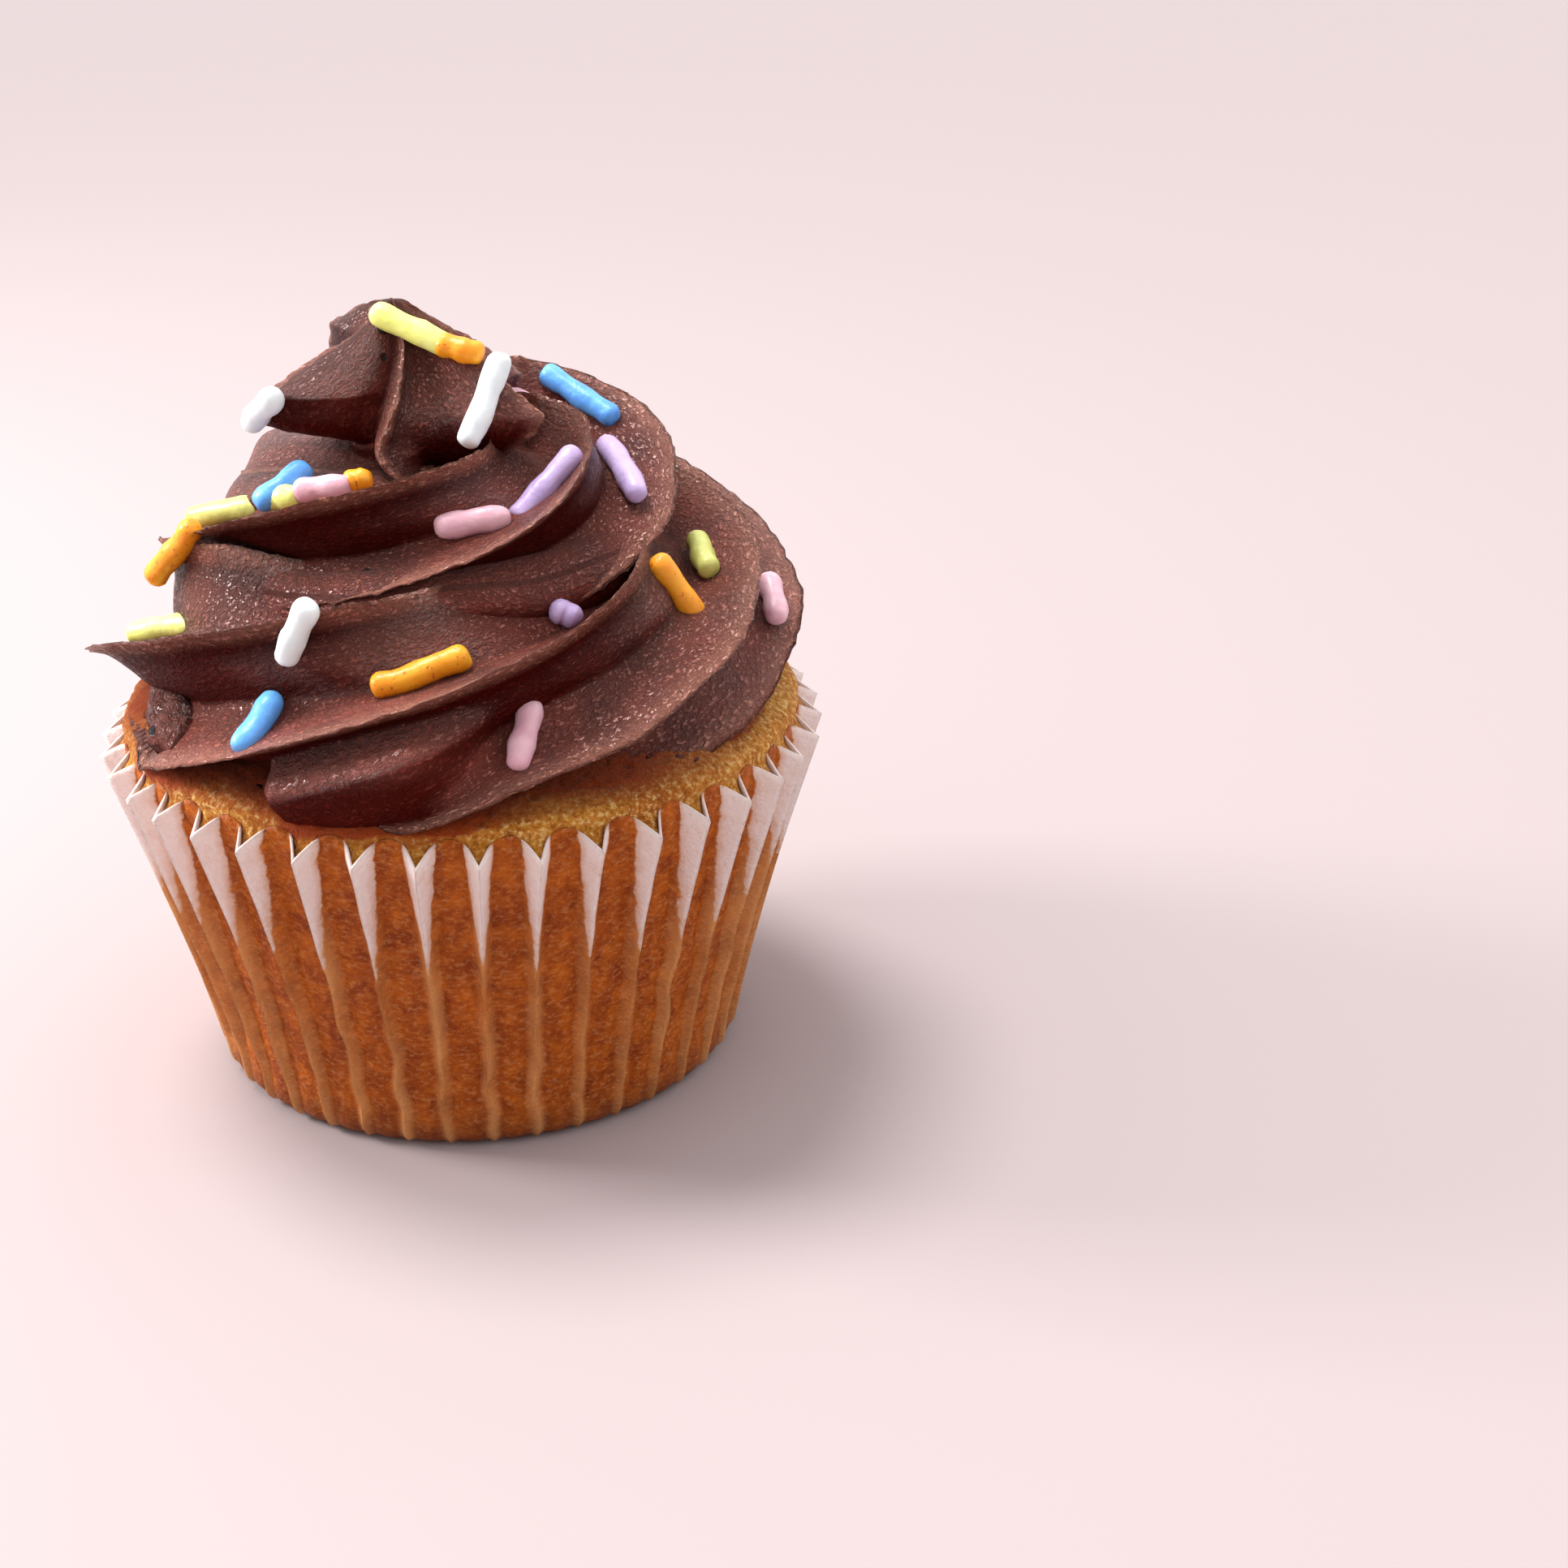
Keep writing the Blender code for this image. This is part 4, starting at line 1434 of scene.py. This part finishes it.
    def roughen(self, points: np.ndarray, crest: np.ndarray, torn: np.ndarray) -> np.ndarray:
        """Give the skin the unevenness of piped buttercream.

        Args:
            points: Skin points, shape (count, 3).
            crest: Nearness to a crest, 0 to 1.
            torn: How torn the skin is, 0 to 1.

        Returns:
            The moved points.
        """
        slow = np.stack([field_noise(points, 7.0 * MM, s) for s in (11.0, 12.0, 13.0)], 1)
        quick = np.stack([field_noise(points, 1.6 * MM, s) for s in (14.0, 15.0, 16.0)], 1)
        rag = np.stack([field_noise(points, 0.9 * MM, s) for s in (17.0, 18.0, 19.0)], 1)
        points = points + slow * 0.45 * MM + quick * 0.07 * MM
        points = points + rag * (crest ** 3)[:, None] * 0.24 * MM
        return points + (quick * 0.55 + rag * 0.35) * torn[:, None] * MM

    def build(self) -> bpy.types.Object:
        """Make the swirl's skin from the rope, the mound under it and the peak.

        Returns:
            The dressed icing.
        """
        first, last = self.stations[0].turns, self.stations[-1].turns
        count = int((last - first) * self.rings_per_turn)
        steps = self.fin_steps()
        turns = np.linspace(first, last, count)[:, None] * np.ones(len(steps))
        parts = np.ones(count)[:, None] * steps
        rope = self.rope(turns, parts)
        peak, peak_parts = self.peak()
        mound, seam, curl = self.mound_rings(), self.seam_rings(), self.curl_rings()
        torn = smooth_step(-turns, 0.20, 0.29)
        shells = []
        for rings, fins, rips in (
            (rope, parts, torn),
            (peak, peak_parts, np.zeros(peak.shape[:2])),
            (mound, np.full(mound.shape[:2], 0.5), np.zeros(mound.shape[:2])),
            (seam, np.full(seam.shape[:2], 0.5), np.zeros(seam.shape[:2])),
            (curl, np.full(curl.shape[:2], 0.3), np.full(curl.shape[:2], 0.8)),
        ):
            crest = 1.0 - smooth_step(np.abs(fins - np.round(fins)), 0.0, 0.075)
            flat = self.roughen(rings.reshape(-1, 3), crest.ravel(), rips.ravel())
            rings = self.settle(flat).reshape(rings.shape)
            shells.append((rings, crest, self.lee_shade(fins)))
        verts: list = []
        faces: list = []
        crests: list = []
        lee_shades: list = []
        for rings, crest, lee_shade in shells:
            more_verts, more_faces = closed_tube(rings, len(verts))
            lee_shades += list(lee_shade.ravel()) + [0.0, 0.0]
            verts += more_verts
            faces += more_faces
            crests += list(crest.ravel()) + [0.0, 0.0]
        icing = new_object("icing_swirl", verts, faces)
        self.lay_piping(icing, shells)
        face_outward(icing)
        # Nearness to a crest; the material also paints a highlight by it.
        store(icing, "crest", np.array(crests))
        # Painted shade below the crests and in the grooves, read by the icing's material.
        store(icing, "lee_shade", np.array(lee_shades))
        normals = np.empty(len(icing.data.vertices) * 3, dtype=np.float32)
        icing.data.vertex_normals.foreach_get("vector", normals)
        # How far each face turns up; the icing's material paints light and shade by it.
        store(icing, "upward_light", smooth_step(normals.reshape(-1, 3)[:, 2], -0.30, 0.45))
        icing.data.materials.append(self.finish.material())
        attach(icing, BODY)
        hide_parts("icing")
        return icing

    def mound_rings(self) -> np.ndarray:
        """Rings of the hidden heap that the rope is wound on.

        Returns:
            The rings, shape (rings, points, 3).
        """
        rings = []
        bearing = np.linspace(0.0, 2.0 * math.pi, 60, endpoint=False)
        for radius, height in self.mound:
            lean = (height * MM - self.lean_from) / self.lean_over
            x = radius * MM * np.cos(bearing) + self.lean[0] * lean
            y = radius * MM * np.sin(bearing) + self.lean[1] * lean
            rings.append(np.stack([x, y, np.full(60, height * MM)], axis=1))
        return np.array(rings)

    def seam_rings(self) -> np.ndarray:
        """Rings of the icing squeezed up between the first turn and the one on top of it.

        Returns:
            The rings, shape (rings, points, 3).
        """
        reach = np.array(self.seam)
        turns = np.linspace(reach[0, 0], reach[-1, 0], 90)
        below, above = self.centre(turns), self.centre(turns + 1.0)
        across = above - below
        bearing = -0.5 * math.pi + 2.0 * math.pi * turns
        along = np.stack([-np.sin(bearing), np.cos(bearing), 0.0 * bearing], axis=1)
        out = np.cross(along, across)
        out /= np.linalg.norm(out, axis=1)[:, None]
        up = np.cross(out, along)
        offset = np.interp(turns, reach[:, 0], reach[:, 1])[:, None] * MM - self.seam_radius
        middle = 0.5 * (below + above) + out * offset
        around = np.linspace(0.0, 2.0 * math.pi, 40, endpoint=False)[None, :, None]
        return middle[:, None] + self.seam_radius * (
            np.cos(around) * out[:, None] + np.sin(around) * up[:, None]
        )

    def curl_rings(self) -> np.ndarray:
        """Rings of the first bit of icing, torn as the piping began beside the case's rim.

        Returns:
            The rings, shape (rings, points, 3).
        """
        rows = np.array(self.curl) * MM
        even, fine = np.linspace(0.0, 1.0, len(rows)), np.linspace(0.0, 1.0, 48)
        path = np.stack([np.interp(fine, even, rows[:, k]) for k in range(3)], axis=1)
        along = np.gradient(path, axis=0)
        side = np.stack([along[:, 1], -along[:, 0], 0.0 * along[:, 0]], axis=1)
        side /= np.linalg.norm(side, axis=1)[:, None]
        wide = np.interp(fine, even, rows[:, 3])[:, None, None]
        around = np.linspace(0.0, 2.0 * math.pi, 36, endpoint=False)[None, :, None]
        up = np.array([0.0, 0.0, 1.0])
        return path[:, None] + wide * (np.cos(around) * side[:, None] + np.sin(around) * up)

    def lay_piping(self, icing: bpy.types.Object, shells: list) -> None:
        """Keep millimetres along and across the piping as a UV map.

        Args:
            icing: The icing object.
            shells: Its shells, the rings first in each.
        """
        marks: list = []
        for rings, _, _ in shells:
            ahead = np.linalg.norm(np.diff(rings, axis=0), axis=2).mean(axis=1) / MM
            along = np.concatenate([[0.0], np.cumsum(ahead)])
            side = np.linalg.norm(np.diff(rings, axis=1), axis=2).mean(axis=0) / MM
            across = np.concatenate([[0.0], np.cumsum(side)])
            grid = np.stack(np.meshgrid(along, across, indexing="ij"), axis=-1)
            marks += list(grid.reshape(-1, 2)) + [np.zeros(2), np.zeros(2)]
        table = np.array(marks)
        layer = icing.data.uv_layers.new(name="piping")
        corners = np.empty(len(icing.data.loops), dtype=np.int32)
        icing.data.loops.foreach_get("vertex_index", corners)
        layer.data.foreach_set("uv", table[corners].astype(np.float32).ravel())


@dataclass
class Sprinkles:
    """Sugar strands of seven colours that lie on the icing."""

    view: Viewpoint
    radius: float = 1.1 * MM
    bumps: float = 0.36 * MM
    sunk: float = 0.30
    longest: float = 10.0 * MM
    bend: float = 0.24 * MM
    wave: float = 0.07 * MM
    bluntness: float = 2.7
    seed: int = 11
    unseen: int = 14
    unseen_lengths: tuple[float, float] = (6.0 * MM, 9.0 * MM)
    unseen_apart: float = 9.0 * MM
    tries: int = 400
    seen: tuple[tuple[Sugar, Pixel, Pixel], ...] = (
        (Sugar.LEMON, (470, 388), (556, 428)),
        (Sugar.ORANGE, (548, 430), (588, 440)),
        (Sugar.WHITE, (318, 518), (345, 487)),
        (Sugar.WHITE, (617, 448), (580, 545)),
        (Sugar.BLUE, (678, 467), (754, 518)),
        (Sugar.LILAC, (710, 568), (645, 643)),
        (Sugar.LILAC, (746, 549), (791, 622)),
        (Sugar.PINK, (546, 658), (620, 646)),
        (Sugar.BLUE, (378, 588), (329, 626)),
        (Sugar.LIME, (246, 633), (332, 619)),
        (Sugar.PINK, (376, 611), (429, 606)),
        (Sugar.ORANGE, (198, 706), (243, 650)),
        (Sugar.LEMON, (172, 786), (246, 776)),
        (Sugar.WHITE, (380, 744), (355, 804)),
        (Sugar.ORANGE, (468, 847), (570, 810)),
        (Sugar.BLUE, (340, 869), (302, 926)),
        (Sugar.LILAC, (684, 761), (704, 768)),
        (Sugar.ORANGE, (804, 697), (869, 785)),
        (Sugar.LIME, (863, 673), (877, 708)),
        (Sugar.PINK, (944, 723), (954, 766)),
        (Sugar.PINK, (656, 877), (640, 944)),
        (Sugar.LEMON, (344, 617), (370, 615)),
        (Sugar.ORANGE, (436, 604), (452, 600)),
    )

    def lay_seen(self, tree: BVHTree) -> list:
        """Lay the strands that the photograph shows.

        Args:
            tree: The icing's surface.

        Returns:
            Strands as (colour, middle, direction, length, up).
        """
        eye = Vector(self.view.eye)
        laid = []
        for colour, first, second in self.seen:
            middle = [(first[0] + second[0]) / 2.0, (first[1] + second[1]) / 2.0]
            hit = None
            for _ in range(12):
                hit, normal, _, _ = tree.ray_cast(eye, self.view.sight_line(tuple(middle)))
                if hit is not None:
                    break
                middle[1] += 4.0
            if hit is None:
                continue
            sight = self.view.sight_line(tuple(middle))
            if normal.dot(sight) > -0.45:
                normal = (normal - sight * 0.6).normalized()
            ends = []
            for pixel in (first, second):
                ray = self.view.sight_line(pixel)
                ends.append(eye + ray * ((hit - eye).dot(normal) / ray.dot(normal)))
            along = ends[1] - ends[0]
            length = min(along.length + 1.2 * self.radius, self.longest)
            place = hit + normal * self.radius * (1.0 - self.sunk)
            laid.append((colour, place, along.normalized(), length, normal))
        return laid

    def lay_unseen(self, tree: BVHTree) -> list:
        """Strew more strands over the sides that the photograph doesn't show.

        Args:
            tree: The icing's surface.

        Returns:
            Strands as (colour, middle, direction, length, up).
        """
        rng = random.Random(self.seed)
        colours = list(Sugar)
        eye = Vector(self.view.eye)
        laid: list = []
        for _ in range(self.tries):
            if len(laid) == self.unseen:
                break
            bearing = math.radians(rng.uniform(20.0, 160.0))
            height = rng.uniform(44.0, 64.0) * MM
            start = Vector((math.cos(bearing), math.sin(bearing), 0.0)) * 0.06
            start.z = height + 0.025
            inward = Vector((-math.cos(bearing), -math.sin(bearing), -0.45)).normalized()
            hit, normal, _, _ = tree.ray_cast(start, inward)
            if hit is None or normal.dot(inward) > -0.6:
                continue
            if tree.ray_cast(eye, (hit - eye).normalized())[3] > (hit - eye).length - 0.002:
                continue
            if any((hit - other[1]).length < self.unseen_apart for other in laid):
                continue
            turn = rng.uniform(0.0, 6.28)
            along = normal.orthogonal().normalized()
            along = along * math.cos(turn) + normal.cross(along) * math.sin(turn)
            place = hit + normal * self.radius * (1.0 - self.sunk)
            marks = [place + along * side * 5.0 * MM + Vector((0.0, 0.0, 1.6 * MM)) for side in (-1.0, 1.0)]
            cover = [tree.ray_cast(eye, (mark - eye).normalized())[3] for mark in marks]
            if any(far is None or far > (mark - eye).length for far, mark in zip(cover, marks)):
                continue
            colour = colours[len(laid) % len(colours)]
            laid.append((colour, place, along, rng.uniform(*self.unseen_lengths), normal))
        return laid

    def strand_tree(self, name: str, material: bpy.types.Material) -> bpy.types.NodeTree:
        """Node tree that turns lines with a thickness into bumpy sugar strands.

        Args:
            name: Name of the tree.
            material: The sugar's material.

        Returns:
            The geometry node group.
        """
        tree = bpy.data.node_groups.new(name, "GeometryNodeTree")
        face = tree.interface
        face.new_socket("Geometry", in_out="INPUT", socket_type="NodeSocketGeometry")
        face.new_socket("Thickness", in_out="INPUT", socket_type="NodeSocketFloat")
        face.new_socket("Bumps", in_out="INPUT", socket_type="NodeSocketFloat")
        face.new_socket("Geometry", in_out="OUTPUT", socket_type="NodeSocketGeometry")
        new, link = tree.nodes.new, tree.links.new
        source = new("NodeGroupInput")
        curve = new("GeometryNodeMeshToCurve")
        thick = new("GeometryNodeInputNamedAttribute")
        thick.data_type = "FLOAT"
        thick.inputs["Name"].default_value = "thick"
        radius = new("ShaderNodeMath")
        radius.operation = "MULTIPLY"
        width = new("GeometryNodeSetCurveRadius")
        ring = new("GeometryNodeCurvePrimitiveCircle")
        ring.inputs["Resolution"].default_value = 14
        ring.inputs["Radius"].default_value = 1.0
        tube = new("GeometryNodeCurveToMesh")
        tube.inputs["Fill Caps"].default_value = True
        place = new("GeometryNodeInputPosition")
        bumps = new("ShaderNodeTexNoise")
        bumps.inputs["Scale"].default_value = 620.0
        bumps.inputs["Detail"].default_value = 1.0
        centre = new("ShaderNodeMath")
        centre.operation = "SUBTRACT"
        centre.inputs[1].default_value = 0.5
        size = new("ShaderNodeMath")
        size.operation = "MULTIPLY"
        normal = new("GeometryNodeInputNormal")
        push = new("ShaderNodeVectorMath")
        push.operation = "SCALE"
        move = new("GeometryNodeSetPosition")
        merge = new("GeometryNodeMergeByDistance")
        merge.inputs["Distance"].default_value = 0.01 * MM
        smooth = new("GeometryNodeSetShadeSmooth")
        real = new("GeometryNodeRealizeInstances")
        dress = new("GeometryNodeSetMaterial")
        dress.inputs["Material"].default_value = material
        sink = new("NodeGroupOutput")
        link(source.outputs["Geometry"], curve.inputs[0])
        link(thick.outputs[0], radius.inputs[0])
        link(source.outputs["Thickness"], radius.inputs[1])
        link(curve.outputs[0], width.inputs["Curve"])
        link(radius.outputs[0], width.inputs["Radius"])
        link(width.outputs[0], tube.inputs["Curve"])
        link(ring.outputs[0], tube.inputs["Profile Curve"])
        if "Scale" in tube.inputs:
            link(radius.outputs[0], tube.inputs["Scale"])
        link(place.outputs[0], bumps.inputs["Vector"])
        link(bumps.outputs[0], centre.inputs[0])
        link(centre.outputs[0], size.inputs[0])
        link(source.outputs["Bumps"], size.inputs[1])
        link(normal.outputs[0], push.inputs[0])
        link(size.outputs[0], push.inputs["Scale"])
        link(tube.outputs[0], move.inputs["Geometry"])
        link(push.outputs[0], move.inputs["Offset"])
        link(move.outputs[0], merge.inputs["Geometry"])
        link(merge.outputs[0], smooth.inputs["Geometry"])
        link(smooth.outputs[0], real.inputs[0])
        link(real.outputs[0], dress.inputs["Geometry"])
        link(dress.outputs[0], sink.inputs[0])
        return tree

    def strand_line(self, strand: tuple, rng: random.Random) -> tuple[list, list]:
        """Middle line of a strand and its thickness along it.

        Args:
            strand: The strand as (colour, middle, direction, length, up).
            rng: Seeded source of bends.

        Returns:
            Points, and the thickness at each, 0 to 1.
        """
        _, middle, along, length, up = strand
        side = up.cross(along).normalized()
        bend = rng.uniform(-self.bend, self.bend)
        wave = rng.uniform(-self.wave, self.wave)
        half = 0.5 * length
        cap = self.radius
        marks = [math.sin(a) for a in np.linspace(-1.5, -0.35, 6)]
        walk = [(-half + cap * (1.0 + m)) for m in marks]
        walk += list(np.linspace(-half + cap, half - cap, 9))
        walk += [-w for w in reversed(walk[:6])]
        points = []
        thick = []
        for at in walk:
            part = at / half
            over = max(abs(at) - (half - cap), 0.0) / cap
            points.append(
                middle + along * at + side * (bend * (part * part - 0.4) + wave * math.sin(5.0 * part))
            )
            round_end = max(1.0 - over**self.bluntness, 0.0) ** (1.0 / self.bluntness)
            thick.append(round_end * (1.0 + 0.05 * math.sin(7.0 * part + bend * 9000.0)))
        return points, thick

    def build(self, icing: bpy.types.Object) -> list[bpy.types.Object]:
        """Make one piece for each colour.

        Args:
            icing: The finished icing, which the strands lie on.

        Returns:
            The dressed pieces.
        """
        skin = BVHTree.FromObject(icing, bpy.context.evaluated_depsgraph_get())
        laid = self.lay_seen(skin) + self.lay_unseen(skin)
        rng = random.Random(self.seed + 1)
        lines = {colour: ([], [], []) for colour in Sugar}
        for strand in laid:
            verts, edges, widths = lines[strand[0]]
            points, thick = self.strand_line(strand, rng)
            start = len(verts)
            verts += points
            widths += thick
            edges += [(start + i, start + i + 1) for i in range(len(points) - 1)]
        pieces = []
        for colour, (verts, edges, widths) in lines.items():
            name = "sprinkles_" + colour.value.name
            mesh = bpy.data.meshes.new(name + "_lines")
            mesh.from_pydata([tuple(v) for v in verts], edges, [])
            source = bpy.data.objects.new(name + "_lines", mesh)
            bpy.context.scene.collection.objects.link(source)
            store(source, "thick", np.array(widths))
            sizes = {"Thickness": self.radius, "Bumps": self.bumps}
            tree = self.strand_tree(name, colour.value.material())
            piece = bpy.data.objects.new(name, grow(source, tree, sizes))
            bpy.context.scene.collection.objects.link(piece)
            face_outward(piece)
            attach(piece, BODY)
            pieces.append(piece)
        return pieces


@dataclass
class Studio:
    """Plain pale floor, soft light and the photograph's camera.

    The sky weights say how much brighter it is sideways, at the back and overhead.
    """

    view: Viewpoint
    floor_colour: Colour = (0.395, 0.318, 0.313, 1.0)
    sky_colour: Colour = (0.96, 0.97, 1.0, 1.0)
    sky_strength: tuple[float, float] = (0.12, 1.35)
    sky_weights: tuple[float, float, float] = (0.62, 0.30, 0.75)
    light_colour: Colour = (0.97, 0.985, 1.0, 1.0)
    sun_from: tuple[float, float, float] = (-0.30, 0.22, 1.0)
    sun_spread: float = 22.0
    sun_power: float = 2.9
    window_place: tuple[float, float, float] = (-0.36, 0.03, 0.22)
    window_size: float = 0.12
    window_power: float = 1.9

    def lamp(self, name: str) -> None:
        """Add a soft square lamp that faces the cupcake.

        Args:
            name: Name of the lamp.
        """
        data = bpy.data.lights.new(name, "AREA")
        data.shape = "SQUARE"
        data.size = self.window_size
        data.energy = self.window_power
        data.color = self.light_colour[:3]
        lamp = bpy.data.objects.new(name, data)
        bpy.context.scene.collection.objects.link(lamp)
        lamp.location = self.window_place
        aim = Vector((0.0, 0.0, 0.04)) - Vector(self.window_place)
        lamp.rotation_euler = aim.to_track_quat("-Z", "Y").to_euler()

    def sun(self, name: str) -> None:
        """Add a broad even light from above.

        Args:
            name: Name of the light.
        """
        data = bpy.data.lights.new(name, "SUN")
        data.angle = math.radians(self.sun_spread)
        data.energy = self.sun_power
        data.color = self.light_colour[:3]
        light = bpy.data.objects.new(name, data)
        bpy.context.scene.collection.objects.link(light)
        light.rotation_euler = (-Vector(self.sun_from)).to_track_quat("-Z", "Y").to_euler()

    def floor(self) -> bpy.types.Object:
        """Lay a wide pale floor under the case.

        Returns:
            The floor.
        """
        size = 40.0
        verts = [(-size, -size, 0.0), (size, -size, 0.0), (size, size, 0.0), (-size, size, 0.0)]
        floor = new_object("floor", verts, [(0, 1, 2, 3)])
        shade = Shading("pale_floor")
        cloud = shade.grain(shade.place(), 3.0, 2.0)
        pale = tuple(min(c * 1.01, 1.0) for c in self.floor_colour[:3]) + (1.0,)
        shade.fix(Roughness=0.9)
        floor.data.materials.append(shade.finish(shade.blend(cloud, self.floor_colour, pale)))
        return floor

    def build(self) -> None:
        """Set up the world, the lamps, the floor and the camera."""
        world = bpy.data.worlds.new("soft_room")
        bpy.context.scene.world = world
        world.use_nodes = True
        sky = world.node_tree.nodes["Background"]
        sky.inputs["Color"].default_value = self.sky_colour
        new, link = world.node_tree.nodes.new, world.node_tree.links.new
        place = new("ShaderNodeTexCoord")
        split = new("ShaderNodeSeparateXYZ")
        grade = new("ShaderNodeMapRange")
        grade.inputs["From Min"].default_value = -0.2
        grade.inputs["From Max"].default_value = 0.8
        grade.inputs["To Min"].default_value = self.sky_strength[0]
        grade.inputs["To Max"].default_value = self.sky_strength[1]
        sideways = new("ShaderNodeMath")
        sideways.operation = "ABSOLUTE"
        link(split.outputs["X"], sideways.inputs[0])
        link(place.outputs["Generated"], split.inputs[0])
        level = None
        sides = (sideways.outputs[0], split.outputs["Y"], split.outputs["Z"])
        for source, weight in zip(sides, self.sky_weights):
            part = new("ShaderNodeMath")
            part.operation = "MULTIPLY_ADD"
            link(source, part.inputs[0])
            part.inputs[1].default_value = weight
            part.inputs[2].default_value = 0.0
            if level is not None:
                link(level, part.inputs[2])
            level = part.outputs[0]
        link(level, grade.inputs["Value"])
        link(grade.outputs["Result"], sky.inputs["Strength"])
        self.sun("overhead")
        self.lamp("window")
        bpy.context.scene.view_settings.view_transform = "Standard"
        self.floor()
        self.view.make_camera()


def report(item: bpy.types.Object) -> None:
    """Log a piece's name and size.

    Args:
        item: The piece.
    """
    mesh = item.data
    triangles = sum(len(face.vertices) - 2 for face in mesh.polygons)
    LOG.info("%s: %d triangles", item.name, triangles)


def main() -> None:
    """Build the cupcake's pieces in order and light them."""
    view = Viewpoint()
    Studio(view).build()
    case = PaperCase()
    sponge = Sponge(case)
    cake = sponge.build()
    report(cake)
    icing = PipedSwirl(sponge).build()
    report(icing)
    sponge.paint_overhang_shade(cake, icing)
    report(case.build())
    for piece in Sprinkles(view).build(icing):
        report(piece)


if __name__ == "__main__":
    main()
